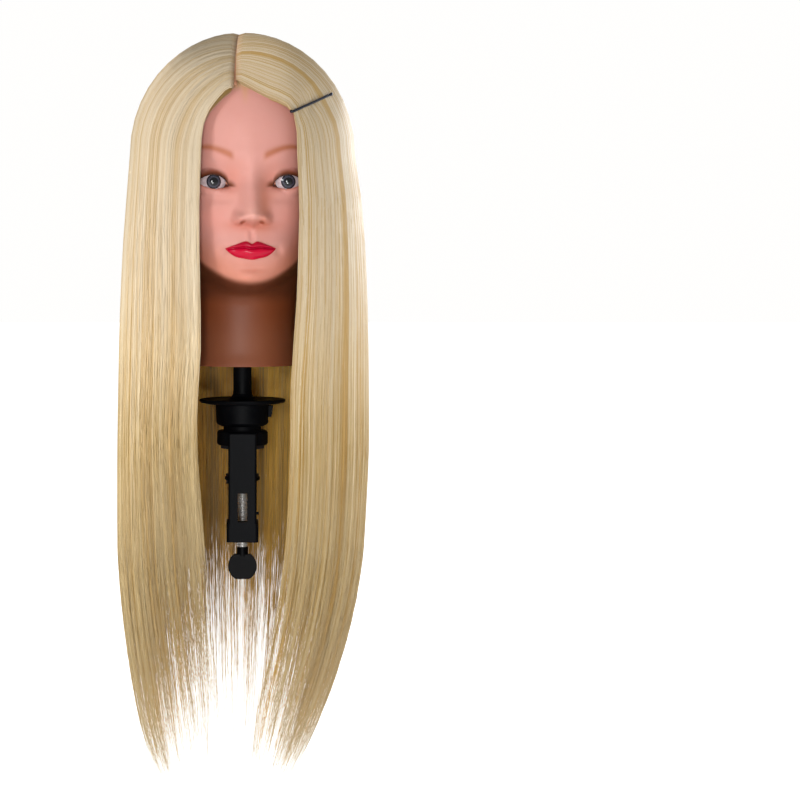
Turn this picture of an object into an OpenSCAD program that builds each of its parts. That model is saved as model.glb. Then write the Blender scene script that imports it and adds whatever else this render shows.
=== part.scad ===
// Mannequin training head with long hair on a table clamp.
// Millimetres, +Z up, the face looks along -Y.
// The origin is the centre of the clamp's upper jaw pad, on the table top.

/* [Head] */
// Height of the neck's lower edge above the table top
neck_bottom = 71.5; // [66:0.5:90]
// Half of the greatest width of the bare head
skull_half_width = 74; // [68:0.5:76]
// Depth of the forehead in front of the stake's axis
face_depth = 90; // [84:0.5:92]
// Depth of the back of the skull behind the stake's axis
occiput_depth = 84; // [76:0.5:86]
// Thickness of the vinyl skin
skin = 3.5; // [2.5:0.5:5]
// Turn of the face away from the clamp's centre line, in degrees
face_turn = 4.5; // [-5:0.5:5]
// Radius of the inset eyes
eye_r = 12.5; // [11.5:0.1:13]
// Half of the distance between the eyes
eye_half_gap = 30.7; // [29:0.1:32]

/* [Hair] */
// Lowest point of the hair, below the table top
hair_drop = 292; // [270:1:300]
// Half of the greatest width of the hanging hair
hair_half_width = 107; // [104:0.5:110]
// Half width of the hollow inside the hanging hair
hollow_half_width = 84; // [80:0.5:88]
// Edge of the face opening on the head's right side
opening_right = 33; // [28:0.5:36]
// Edge of the face opening on the head's left side
opening_left = 42; // [38:0.5:46]
// Sideways place of the parting
parting_x = -5; // [-8:0.5:2]
// Radius of one strand of the rope twists
strand_r = 2.9; // [2.4:0.1:3.1]
// Length of one full turn of the rope twists
twist_pitch = 42; // [34:1:56]
// Length of the bobby pin
pin_length = 60; // [50:1:62]
// Distance that the bobby pin draws out
pin_travel = 55; // [40:1:60]

/* [Swivel stake] */
// Radius of the stake at its foot
stake_r = 7.8; // [7:0.1:8.2]
// Height of the stake's tip above the table top
stake_top = 165; // [140:1:180]
// Diameter of the disc flange
disc_d = 73.6; // [66:0.2:76]
// Diameter of the swivel cup
cup_d = 44.5; // [43:0.5:48]
// Radius of the hub that the cup turns on
hub_r = 16; // [15:0.1:16.5]

/* [Table clamp] */
// Diameter of the ring above the jaw pad
ring_d = 43.4; // [42:0.2:48]
// Diameter of the jaw pad
pad_d = 37; // [34:0.5:40]
// Thickness of the table top between the jaws
table_gap = 22; // [20:0.5:24]
// Width of the spine
spine_w = 24; // [22:0.5:26]
// Distance from the screw's axis to the spine's inner face
throat = 26; // [24:0.5:30]
// Thickness of the spine
spine_t = 8; // [7:0.5:9]
// Lowest point of the clamp's frame, below the table top
frame_drop = 77.5; // [76:0.5:82]
// Radius of the clamp screw's thread
screw_r = 4.7; // [4.3:0.1:5]
// Radius of the thumb key's round paddle
key_r = 12.2; // [11:0.1:13]

/* [Hidden] */
$fn = 72;
eps = 0.01;
gap = 0.6;              // clear space between neighbouring hair pieces
fit = 0.05;             // radial clearance of a running fit

crown_z = 344.5;        // top of the bare skull
eye_z = 227;            // height of the eyes
eye_y = -69;            // depth of the eye's centre
seam_y = 6;             // plane that parts the front hair from the back hair
hairline_z = 300;       // top of the face opening

ring_bottom = 2.5;
ring_top = 15.4;
hub_top = 27;
cup_bottom = 19;
cup_web = 29;
disc_bottom = 38;
ring_r = ring_d / 2;
cup_r = cup_d / 2;
disc_r = disc_d / 2;
bolt_r = 3;

window_w = 8;
window_top = -36;
window_bottom = -60.5;
block_top = -62;
block_w = 27;
block_back = 13;
nut_w = 17;
nut_h = 6.5;
nut_z = -73;
journal_r = 3.2;
screw_tip = -table_gap - 4.5;
screw_foot = -84.5;
journal_foot = -98;
key_top = -84.6;
key_foot = -112;
key_t = 8.8;

ink = "#17171b";
steel = "#b9b9bd";
vinyl = "#e8a996";
blonde = "#dcc592";
gold = "#c9ab68";

// Outer shape of the bare head, given at heights from the neck to the crown:
// height, half width, depth in front of the axis, depth behind it
HEAD = [
    [neck_bottom, 50, 48, 52],
    [82, 47, 45, 50],
    [104, 45, 46, 51],
    [124, 48, 54, 56],
    [134, 51, 72, 62],
    [142, 54, 82, 67],
    [154, 58, 86, 73],
    [172, 63, 88, 78],
    [200, 68, face_depth - 3, occiput_depth - 1],
    [229, 71, face_depth - 4, occiput_depth],
    [252, skull_half_width, face_depth, occiput_depth],
    [275, skull_half_width, face_depth - 1, occiput_depth - 2],
    [296, 70, face_depth - 6, occiput_depth - 7],
    [314, 61, face_depth - 18, occiput_depth - 17],
    [328, 48, 57, 54],
    [338, 32, 38, 38],
    [crown_z - 1, 14, 18, 18]
];

// Outer envelope of the hair, from the tips to the crown
HAIR = [
    [-hair_drop, 34, 24, 38],
    [-270, 58, 38, 58],
    [-225, 82, 52, 72],
    [-175, 95, 62, 80],
    [-120, 103, 69, 85],
    [-50, hair_half_width, 76, 88],
    [30, hair_half_width, 80, 91],
    [100, 106, 86, 93],
    [170, 103, 94, 95],
    [215, 97, 98, 96],
    [250, 93.5, 100, 96],
    [280, 89, 99, 93],
    [302, 80, 92, 87],
    [320, 68, 80, 77],
    [334, 53, 62, 61],
    [345, 34, 38, 40],
    [351, 14, 16, 18]
];

// Hollow inside the hair, from below the tips to just over the crown
HOLLOW = [
    [-hair_drop - 6, 24, 15, 28],
    [-270, 46, 27, 44],
    [-225, 66, 38, 55],
    [-175, 76, 45, 61],
    [-120, 81, 52, 66],
    [-50, hollow_half_width, 59, 70],
    [30, hollow_half_width, 63, 73],
    [100, hollow_half_width, 72, 76],
    [128, hollow_half_width, 80, 79],
    [150, hollow_half_width, 88, 83],
    [185, hollow_half_width, 92, 86],
    [215, hollow_half_width, face_depth + 4, occiput_depth + 3],
    [245, 83, face_depth + 4, occiput_depth + 3],
    [262, 79, face_depth + 3, occiput_depth + 2],
    [285, 76, face_depth, occiput_depth - 1],
    [302, 71, face_depth - 5, occiput_depth - 6],
    [318, 59, 73, 67],
    [331, 47, 56, 54],
    [341, 31, 37, 37],
    [crown_z + 2, 13, 17, 17]
];

// ---------- lofted shapes ----------

// One level ring: an oval whose front and back have their own depths
function oval(level, steps) = [
    for (i = [0 : steps - 1])
        let (t = 360 * i / steps)
            [level[1] * cos(t), (sin(t) < 0 ? level[2] : level[3]) * sin(t), level[0]]
];

function shrunk(levels, d) = [for (l = levels) [l[0], l[1] - d, l[2] - d, l[3] - d]];

// Faces that join rings of the same number of points and close both ends
function skin_faces(rings, steps) = concat(
    [[for (i = [0 : steps - 1]) i]],
    [for (r = [0 : rings - 2], i = [0 : steps - 1])
        let (a = r * steps + i, b = r * steps + (i + 1) % steps)
            [a, a + steps, b + steps, b]],
    [[for (i = [steps - 1 : -1 : 0]) (rings - 1) * steps + i]]
);

// The same closed skin in triangles, for a tube whose sides twist
function twisted_faces(rings, steps) = concat(
    [[for (i = [0 : steps - 1]) i]],
    [for (r = [0 : rings - 2], i = [0 : steps - 1], half = [0, 1])
        let (a = r * steps + i, b = r * steps + (i + 1) % steps)
            half == 0 ? [a, a + steps, b] : [a + steps, b + steps, b]],
    [[for (i = [steps - 1 : -1 : 0]) (rings - 1) * steps + i]]
);

module loft(levels, steps = 36) {
    points = [for (l = levels) each oval(l, steps)];
    polyhedron(points, skin_faces(len(levels), steps), convexity = 6);
}

// The two directions across a path that runs round the head
function across(t, p) =
    let (side = cross(t, [p[0], p[1], 0]), u = side / norm(side))
        [cross(u, t), u];

// Round tube along a list of points, with a radius for each point
module tube(route, radii, steps = 6) {
    last = len(route) - 1;
    points = [
        for (i = [0 : last])
            let (
                ahead = route[min(i + 1, last)] - route[max(i - 1, 0)],
                uv = across(ahead / norm(ahead), route[i])
            )
            for (k = [0 : steps - 1])
                let (a = 360 * k / steps)
                    route[i] + radii[i] * (cos(a) * uv[0] + sin(a) * uv[1])
    ];
    polyhedron(points, twisted_faces(last + 1, steps), convexity = 8);
}

// ---------- head ----------

module skull(inset = 0, foot = 0) {
    levels = shrunk(HEAD, inset);
    raised = [for (l = levels) [l[0] == neck_bottom ? neck_bottom + foot : l[0], l[1], l[2], l[3]]];
    capped = [for (l = raised) if (l[0] < crown_z - 1.5 * inset) l];
    loft(capped);
}

module eye_sites() {
    for (side = [-1, 1])
        translate([side * eye_half_gap, eye_y, eye_z]) children();
}

module nose() {
    hull() {
        translate([0, -83, 236]) sphere(5, $fn = 16);
        translate([0, -98, 199]) sphere(7, $fn = 20);
        for (side = [-1, 1])
            translate([side * 9, -89, 193]) sphere(5.5, $fn = 16);
    }
}

module ear(side) {
    hull() {
        translate([side * 73, 4, 236]) sphere(6, $fn = 16);
        translate([side * 74, 12, 226]) sphere(6, $fn = 16);
        translate([side * 69, 2, 196]) sphere(5, $fn = 16);
    }
}

module head_skin() {
    color(vinyl)
        rotate([0, 0, face_turn]) difference() {
            union() {
                skull();
                nose();
                ear(-1);
                ear(1);
            }
            difference() {
                skull(skin, -eps);
                translate([0, 0, neck_bottom - 1]) cylinder(h = 5, r = 60);
            }
            translate([0, 0, neck_bottom - 1]) cylinder(h = 6, r = 30);
            eye_sites() sphere(eye_r + 0.15);
        }
}

module foam_core() {
    color("#f2ead2")
        rotate([0, 0, face_turn]) difference() {
            skull(skin + 0.3, -eps);
            translate([0, 0, neck_bottom - 1]) cylinder(h = 5.4, r = 60);
            translate([0, 0, neck_bottom - 2]) cylinder(h = stake_top + 6.4 - neck_bottom, r = 12.3);
            eye_sites() sphere(eye_r + 0.3);
        }
}

module neck_socket() {
    color("#2b2b2f") difference() {
        union() {
            translate([0, 0, neck_bottom]) cylinder(h = 4, r = 29.8);
            translate([0, 0, neck_bottom + 3]) cylinder(h = stake_top + 1 - neck_bottom, r = 12);
        }
        translate([0, 0, neck_bottom - 1]) cylinder(h = stake_top + 1.3 - neck_bottom, r = stake_r + 0.1);
    }
}

module eye(side) {
    color("white")
        rotate([0, 0, face_turn])
            translate([side * eye_half_gap, eye_y, eye_z]) sphere(eye_r);
}

// ---------- hair ----------

module hair_body() {
    difference() {
        loft(HAIR);
        loft(HOLLOW);
    }
}

// Room for the face, between the two front curtains
module face_opening() {
    arch_r = (opening_left + opening_right) / 2;
    middle = (opening_left - opening_right) / 2;
    translate([0, -20, 0]) rotate([90, 0, 0]) linear_extrude(120) {
        translate([-opening_right, -hair_drop - 20])
            square([2 * arch_r, hair_drop + 20 + hairline_z - arch_r]);
        translate([middle, hairline_z - arch_r]) circle(arch_r);
    }
}

// The bobby pin's own axes: its loop end at the origin, its prongs along +X
pin_foot = [40, -88, 283];
module pin_place() {
    translate(pin_foot) rotate([0, 0, 54]) rotate([0, -16, 0]) children();
}

// Straight way in which the pin lies and draws out
module pin_channel() {
    pin_place() translate([-pin_travel - 20, -60, -3.2])
        cube([pin_travel + pin_length + 24, 66.5, 6.4]);
}

module front_hair(side) {
    difference() {
        intersection() {
            hair_body();
            translate([side > 0 ? parting_x + gap / 2 : -150, -150, -hair_drop - 10])
                cube([side > 0 ? 160 : 150 + parting_x - gap / 2, 150 + seam_y - gap, 700]);
        }
        face_opening();
        if (side > 0) pin_channel();
    }
}

module hair_front_left() {
    color(blonde) front_hair(1);
}

module hair_front_right() {
    color(blonde) front_hair(-1);
}

module hair_back() {
    color(gold) intersection() {
        hair_body();
        translate([-150, seam_y, -hair_drop - 10]) cube([300, 150, 700]);
    }
}

// Half width and back depth of the hair at a height
function hair_width(z) = lookup(z, [for (l = HAIR) [l[0], l[1]]]);
function hair_back_depth(z) = lookup(z, [for (l = HAIR) [l[0], l[3]]]);
// Length of a rope twist along its middle line
twist_length = 250;

// Middle line of a rope twist: from behind the ear round to the middle of the back
twist_start_z = 256;
twist_end_z = 70;
TWIST_X = [
    [70, 3.2], [78, 10], [90, 18], [112, 38], [132, 59], [155, 77], [189, 90.5], [221, 92.5], [256, 89.5]
];
function twist_axis(s) =
    let (
        z = twist_end_z + (twist_start_z - twist_end_z) * s,
        x = lookup(z, TWIST_X),
        a = hair_width(z) + 2 * strand_r + 1.4,
        b = hair_back_depth(z) + 2 * strand_r + 1.4
    )
    [x, b * sqrt(max(0.02, 1 - pow(x / a, 2))), z];

// The strands thin out towards the elastic
function twist_taper(s) = lookup(s, [[0, 0.42], [0.12, 1], [1, 1]]);

// A strand winds round the middle line, half a turn away from its partner
function strand_point(s, phase) =
    let (
        p = twist_axis(s),
        d = twist_axis(min(s + 0.01, 1)) - twist_axis(max(s - 0.01, 0)),
        uv = across(d / norm(d), p),
        turn = phase + 360 * s * twist_length / twist_pitch
    )
    p + (strand_r * twist_taper(s) + 0.2) * (cos(turn) * uv[0] + sin(turn) * uv[1]);

module twist_strand(phase) {
    steps = 44;
    tube(
        [for (i = [0 : steps]) strand_point(i / steps, phase)],
        [for (i = [0 : steps]) strand_r * twist_taper(i / steps)]
    );
}

module twist_left_inner() {
    color(gold) twist_strand(0);
}

module twist_left_outer() {
    color(blonde) twist_strand(180);
}

module twist_right_inner() {
    color(gold) mirror([1, 0, 0]) twist_strand(0);
}

module twist_right_outer() {
    color(blonde) mirror([1, 0, 0]) twist_strand(180);
}

// Middle of the elastic, on the surface of the back hair
band_z = 60;
band_y = hair_back_depth(band_z) + 6.2;

module elastic_band() {
    color("#2aa5d8")
        translate([0, band_y, band_z])
            for (row = [-1, 1])
                translate([0, 0, row * 1.35])
                    rotate_extrude() translate([4.2, 0]) circle(1.25, $fn = 24);
}

// The tail hangs from the elastic and widens downwards
TAIL = [
    [-40, 4, 1.6],
    [-20, 9, 2.4],
    [10, 11, 3],
    [35, 9, 3.6],
    [48, 5, 3.4],
    [56, 2.7, 2.7],
    [66, 2.7, 2.7]
];
module hair_tail() {
    steps = 16;
    points = [
        for (l = TAIL, i = [0 : steps - 1])
            let (t = 360 * i / steps, y = l[0] > 55 ? band_y : hair_back_depth(l[0]) + l[2] + 1.5)
                [l[1] * cos(t), y + l[2] * sin(t), l[0]]
    ];
    color(blonde) polyhedron(points, skin_faces(len(TAIL), steps), convexity = 4);
}

module bobby_pin() {
    wire = 0.75;
    spread = 1.5;
    color("#14161f") pin_place() {
        for (side = [-1, 1])
            translate([spread, side * spread, 0]) rotate([0, 90, 0])
                cylinder(h = pin_length - spread, r = wire, $fn = 24);
        translate([spread, 0, 0]) rotate([0, 0, 90])
            rotate_extrude(angle = 180) translate([spread, 0]) circle(wire, $fn = 24);
    }
}

// ---------- swivel stake ----------

module stake_post() {
    spigot_r = 8;
    color(ink) difference() {
        union() {
            translate([0, 0, cup_web + 0.1]) cylinder(h = 20, r = spigot_r - fit);
            translate([0, 0, disc_bottom]) rotate_extrude() polygon([
                [0, 0], [disc_r - 6, 0], [disc_r - 1, 1.2], [disc_r, 2.4], [disc_r - 0.3, 3.7],
                [disc_r - 1.4, 4.1], [disc_r - 3, 3.6], [disc_r - 12, 2.6], [20, 2.9], [12, 4.2],
                [9, 6.4], [stake_r, 9], [0, 9]
            ]);
            translate([0, 0, disc_bottom + 4])
                cylinder(h = stake_top - 7 - disc_bottom, r1 = stake_r, r2 = 6.9);
            translate([0, 0, stake_top - 3]) cylinder(h = 3, r1 = 6.9, r2 = 4.5);
        }
        translate([0, 0, cup_web - 1]) cylinder(h = 15.2, r = 4.52);
        translate([0, 0, cup_web - 1]) cylinder(h = stake_top, r = 3.4);
    }
}

module post_insert() {
    color("#b58b3c") translate([0, 0, cup_web + 1.4]) difference() {
        cylinder(h = 12, r = 4.5);
        translate([0, 0, -1]) cylinder(h = 14, r = bolt_r + 0.02);
    }
}

module swivel_cup() {
    color(ink) difference() {
        rotate_extrude() polygon([
            [hub_r + fit, cup_bottom], [cup_r - 4.2, cup_bottom], [cup_r - 1, cup_bottom + 1.6],
            [cup_r, cup_bottom + 3], [cup_r + 0.6, disc_bottom - 0.1], [8, disc_bottom - 0.1],
            [8, cup_web], [hub_r + fit, cup_web]
        ]);
        translate([hub_r - 0.5, -4.1, cup_bottom + 4.6]) cube([12, 8.2, disc_bottom - cup_bottom - 4.4]);
        translate([19.8, 0, 33.2]) rotate([90, 0, 0]) cylinder(h = 12.4, r = 1.02, center = true);
    }
}

module pivot_bolt() {
    color(steel) difference() {
        union() {
            translate([0, 0, 5.2]) cylinder(h = 3.9, r = 6);
            translate([0, 0, 9]) cylinder(h = 32, r = bolt_r);
        }
        translate([0, 0, 5.1]) cylinder(h = 2.6, r = 3, $fn = 6);
    }
}

module washer(z, inner, outer, thick) {
    translate([0, 0, z]) difference() {
        cylinder(h = thick, r = outer);
        translate([0, 0, -1]) cylinder(h = thick + 2, r = inner);
    }
}

module pivot_washer() {
    color(steel) washer(9.15, bolt_r + 0.08, 8, 1.2);
}

module friction_washer() {
    color("#d9d4c4") washer(hub_top, bolt_r + 0.08, 12, cup_web - hub_top - 0.04);
}

module brake_lever() {
    color(ink) translate([0, 3.8, 0]) rotate([90, 0, 0]) linear_extrude(7.6) difference() {
        polygon([
            [17.6, 24.4], [19.6, 24.4], [21, 26.6], [24.6, 26.8], [25.4, 30], [26.2, 36.3], [17.4, 36.3]
        ]);
        translate([19.8, 33.2]) circle(1.06);
    }
}

module lever_pin() {
    color(steel) translate([19.8, 0, 33.2]) rotate([90, 0, 0]) cylinder(h = 11.8, r = 1, center = true);
}

// ---------- table clamp ----------

module rounded_block(w, y0, y1, z0, z1, r) {
    translate([0, 0, z0]) linear_extrude(z1 - z0) difference() {
        translate([-w / 2, y0]) square([w, y1 - y0]);
        for (cx = [-1, 1])
            for (c = [[y0, 1], [y1, -1]])
                translate([cx * w / 2, c[0]]) difference() {
                    square(2 * r, center = true);
                    translate([-cx * r, c[1] * r]) circle(r);
                }
    }
}

module clamp_frame() {
    spine_front = -throat - spine_t;
    soft = 2.6;
    color(ink) difference() {
        union() {
            rotate_extrude() {
                translate([0, ring_bottom]) square([ring_r - soft, ring_top - ring_bottom]);
                translate([0, ring_bottom + soft]) square([ring_r, ring_top - ring_bottom - 2 * soft]);
                translate([ring_r - soft, ring_bottom + soft]) circle(soft);
                translate([ring_r - soft, ring_top - soft]) circle(soft);
            }
            cylinder(h = hub_top, r = hub_r);
            rounded_block(spine_w, spine_front, -8, ring_bottom, ring_top - 1.4, 2);
            rounded_block(spine_w, spine_front, -throat, -frame_drop + 2, ring_top - 1.4, 2);
            rounded_block(block_w, spine_front, block_back, -frame_drop, block_top, 3);
            for (side = [-1, 1])
                translate([side * 9, 0, 0]) rotate([90, 0, 90]) linear_extrude(2.4, center = true)
                    polygon([
                        [-throat - 1, block_top - 1], [-throat - 1, block_top + 9],
                        [-throat + 7, block_top - 1]
                    ]);
            translate([-spine_w / 2, -throat - 4, -25.6]) rotate([0, 90, 0])
                cylinder(h = 3.6, r = 2.4, center = true);
            translate([spine_w / 2, -throat - 4, -53]) rotate([0, 90, 0])
                cylinder(h = 3.6, r = 1.3, center = true);
        }
        translate([0, 0, -1]) cylinder(h = ring_bottom + 1, r = 30);
        translate([0, 0, -1]) cylinder(h = 11.4, r = 8.6);
        cylinder(h = 40, r = bolt_r + fit);
        translate([-window_w / 2, spine_front - 1, window_bottom])
            cube([window_w, spine_t + 2, window_top - window_bottom]);
        translate([0, 0, -frame_drop - 1]) cylinder(h = 30, r = screw_r + 0.3);
        translate([-nut_w / 2 - 0.1, -nut_w / 2 - 0.1, nut_z - 0.1])
            cube([nut_w + 0.2, nut_w / 2 + block_back + 1, nut_h + 0.2]);
    }
}

module jaw_pad() {
    color("#202024") cylinder(h = ring_bottom - 0.02, r = pad_d / 2);
}

module screw_nut() {
    color(steel) difference() {
        translate([-nut_w / 2, -nut_w / 2, nut_z]) cube([nut_w, nut_w, nut_h]);
        translate([0, 0, nut_z - 1]) cylinder(h = nut_h + 2, r = screw_r + fit);
    }
}

module clamp_screw() {
    tip_h = 4;
    color(steel) {
        translate([0, 0, screw_tip - tip_h]) cylinder(h = tip_h, r = journal_r);
        translate([0, 0, screw_foot]) cylinder(h = screw_tip - tip_h - screw_foot, r = screw_r);
        difference() {
            translate([0, 0, journal_foot]) cylinder(h = screw_foot - journal_foot, r = journal_r);
            translate([0, 0, -88]) rotate([0, 90, 0]) cylinder(h = 20, r = 1.02, center = true);
        }
    }
}

module pressure_pad() {
    cup_h = 9.4;
    color(ink) translate([0, 0, -table_gap - 2.5 - cup_h]) difference() {
        union() {
            cylinder(h = 3, r1 = 8.5, r2 = 9.5);
            translate([0, 0, 3]) cylinder(h = cup_h - 5.4, r1 = 9.5, r2 = 14.5);
            translate([0, 0, cup_h - 2.4]) cylinder(h = 2.4, r = 15);
        }
        translate([0, 0, -1]) cylinder(h = 1 + cup_h - 5.9, r = screw_r + 0.08);
        translate([0, 0, -1]) cylinder(h = 1 + cup_h - 5.9 + 4.06, r = journal_r + fit);
    }
}

module pad_rubber() {
    color("#202024") translate([0, 0, -table_gap - 2.48]) cylinder(h = 2.48, r = 14);
}

module thumb_key() {
    middle = (key_foot + key_top) / 2;
    color(ink) difference() {
        union() {
            translate([0, 0, -92.5]) cylinder(h = key_top + 92.5, r = screw_r + 0.1);
            intersection() {
                translate([0, 0, -101.2]) rotate([90, 0, 0]) cylinder(h = key_t, r = key_r, center = true);
                translate([-20, -20, key_foot]) cube([40, 40, 21]);
            }
        }
        translate([0, 0, journal_foot - 0.1]) cylinder(h = 30, r = journal_r + 0.02);
        translate([0, 0, -88]) rotate([0, 90, 0]) cylinder(h = 20, r = 1.02, center = true);
    }
}

module key_pin() {
    color(steel) translate([0, 0, -88]) rotate([0, 90, 0]) cylinder(h = 9, r = 1, center = true);
}

head_skin();
foam_core();
neck_socket();
eye(1);  // eye_left
eye(-1);  // eye_right
hair_front_left();
hair_front_right();
hair_back();
twist_left_inner();
twist_left_outer();
twist_right_inner();
twist_right_outer();
hair_tail();
elastic_band();
bobby_pin();
stake_post();
post_insert();
swivel_cup();
pivot_bolt();
pivot_washer();
friction_washer();
brake_lever();
lever_pin();
clamp_frame();
jaw_pad();
screw_nut();
clamp_screw();
pressure_pad();
pad_rubber();
thumb_key();
key_pin();
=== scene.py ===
"""Looks of the mannequin training head: vinyl face, combed hair strands, rope twists, table clamp.

Lengths are millimetres in the part's frame (+Z up, face along -Y, origin on the table top), and
fill_mesh() turns them into metres. The camera and the lights are placed in metres. Every random draw
comes from the one seeded generator, so the order of the draws matters.
"""

import math

import bpy
import numpy as np
from mathutils import Matrix, Vector


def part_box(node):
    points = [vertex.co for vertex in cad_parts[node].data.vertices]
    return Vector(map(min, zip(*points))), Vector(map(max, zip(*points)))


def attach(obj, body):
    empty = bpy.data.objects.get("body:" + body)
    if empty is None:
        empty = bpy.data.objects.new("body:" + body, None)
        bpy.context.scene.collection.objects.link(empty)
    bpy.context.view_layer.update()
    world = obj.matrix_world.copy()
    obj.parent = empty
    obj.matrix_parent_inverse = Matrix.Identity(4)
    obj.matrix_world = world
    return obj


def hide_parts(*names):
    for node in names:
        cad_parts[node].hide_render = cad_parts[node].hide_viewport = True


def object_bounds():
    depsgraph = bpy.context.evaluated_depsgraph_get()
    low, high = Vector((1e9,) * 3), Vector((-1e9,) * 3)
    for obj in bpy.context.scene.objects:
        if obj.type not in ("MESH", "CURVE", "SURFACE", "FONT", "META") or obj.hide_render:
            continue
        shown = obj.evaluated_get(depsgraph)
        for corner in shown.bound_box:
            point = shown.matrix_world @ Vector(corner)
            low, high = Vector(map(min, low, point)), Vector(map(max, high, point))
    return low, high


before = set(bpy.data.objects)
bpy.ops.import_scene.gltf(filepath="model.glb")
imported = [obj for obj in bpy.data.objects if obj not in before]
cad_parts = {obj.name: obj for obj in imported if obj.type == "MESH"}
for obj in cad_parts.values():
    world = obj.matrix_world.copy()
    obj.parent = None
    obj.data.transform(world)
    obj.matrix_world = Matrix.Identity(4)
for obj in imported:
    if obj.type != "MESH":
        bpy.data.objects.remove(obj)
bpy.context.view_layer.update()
MM = 0.001
rng = np.random.default_rng(11)

FACE_TURN = math.radians(5.1)
NECK_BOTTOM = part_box("head_skin")[0].z / MM
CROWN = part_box("head_skin")[1].z / MM
BAND = [(a + b) / 2 / MM for a, b in zip(*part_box("elastic_band"))]


# ---------------------------------------------------------------- small tools


def smooth(a, b, x):
    """0 below a, 1 above b, and a smooth step between."""
    t = np.clip((np.asarray(x, float) - a) / (b - a), 0, 1)
    return t * t * (3 - 2 * t)


def hill(x, wide, power=2):
    """1 at x = 0, falling off over the distance wide on both sides."""
    return np.exp(-((x / wide) ** power))


def bump(x, z, x0, z0, wx, wz):
    """A soft round hill of height 1 at (x0, z0)."""
    return np.exp(-(((x - x0) / wx) ** 2) - ((z - z0) / wz) ** 2)


def curve_of(keys, values, soften=8.0):
    """A smoothed table: returns a function of height."""
    grid = np.arange(min(keys) - 60.0, max(keys) + 60.0, 1.0)
    raw = np.interp(grid, keys, values)
    reach = int(3 * soften)
    kernel = np.exp(-0.5 * (np.arange(-reach, reach + 1) / soften) ** 2)
    kernel /= kernel.sum()
    padded = np.pad(raw, reach, mode="edge")
    soft = np.convolve(padded, kernel, mode="valid")
    return lambda z: np.interp(z, grid, soft)


def fill_mesh(mesh, points, corners, starts):
    """Points in mm, all faces' corners in one run, and where in it each face starts."""
    mesh.vertices.add(len(points))
    mesh.vertices.foreach_set("co", (points * MM).ravel())
    mesh.loops.add(len(corners))
    mesh.loops.foreach_set("vertex_index", corners.astype(np.int32))
    mesh.polygons.add(len(starts))
    mesh.polygons.foreach_set("loop_start", starts.astype(np.int32))
    mesh.update(calc_edges=True)


def new_object(name, data):
    """Puts a mesh, lamp or camera in the scene."""
    made = bpy.data.objects.new(name, data)
    bpy.context.scene.collection.objects.link(made)
    return made


def add_piece(name, mesh, material, body):
    """Puts a mesh in the scene as a smooth piece that rides on a body."""
    mesh.shade_smooth()
    piece = new_object(name, mesh)
    mesh.materials.append(material)
    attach(piece, body)
    return piece


def make_piece(name, points, faces, material, body):
    """A piece from points in mm. faces is an array of quads or a list of tuples."""
    mesh = bpy.data.meshes.new(name)
    if isinstance(faces, np.ndarray):
        fill_mesh(mesh, points, faces.ravel(), np.arange(0, faces.size, faces.shape[1]))
        mesh.validate()
    else:
        mesh.from_pydata([tuple(p) for p in points * MM], [], faces)
    return add_piece(name, mesh, material, body)


def xyz(x, y, z):
    """Points from their coordinates, which may be arrays or plain numbers."""
    return np.stack(np.broadcast_arrays(x, y, z), axis=-1)


def heading(paths):
    """Unit direction along paths of points, which lie along the last axis but one."""
    ahead = np.gradient(paths, axis=-2)
    return ahead / np.maximum(np.linalg.norm(ahead, axis=-1, keepdims=True), 1e-9)


def grid_faces(rows, columns, closed=False):
    """Quads between the rings of a rows x columns grid of points."""
    wide = columns if closed else columns - 1
    r, c = np.meshgrid(np.arange(rows - 1), np.arange(wide), indexing="ij")
    a = (r * columns + c).ravel()
    b = (r * columns + (c + 1) % columns).ravel()
    return np.stack([a, b, b + columns, a + columns], axis=1)


def paint(piece, name, colours):
    """A colour for each point, or one for all, as the attribute called name."""
    layer = piece.data.color_attributes.new(name, "FLOAT_COLOR", "POINT")
    rgba = np.ones((len(piece.data.vertices), 4), np.float32)
    rgba[:, :3] = colours
    layer.data.foreach_set("color", rgba.ravel())


def srgb(r, g, b):
    """Linear colour of an sRGB triple from 0 to 255."""
    return tuple((c / 255 / 12.92) if c < 11 else ((c / 255 + 0.055) / 1.055) ** 2.4 for c in (r, g, b))


# ---------------------------------------------------------------- materials


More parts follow.
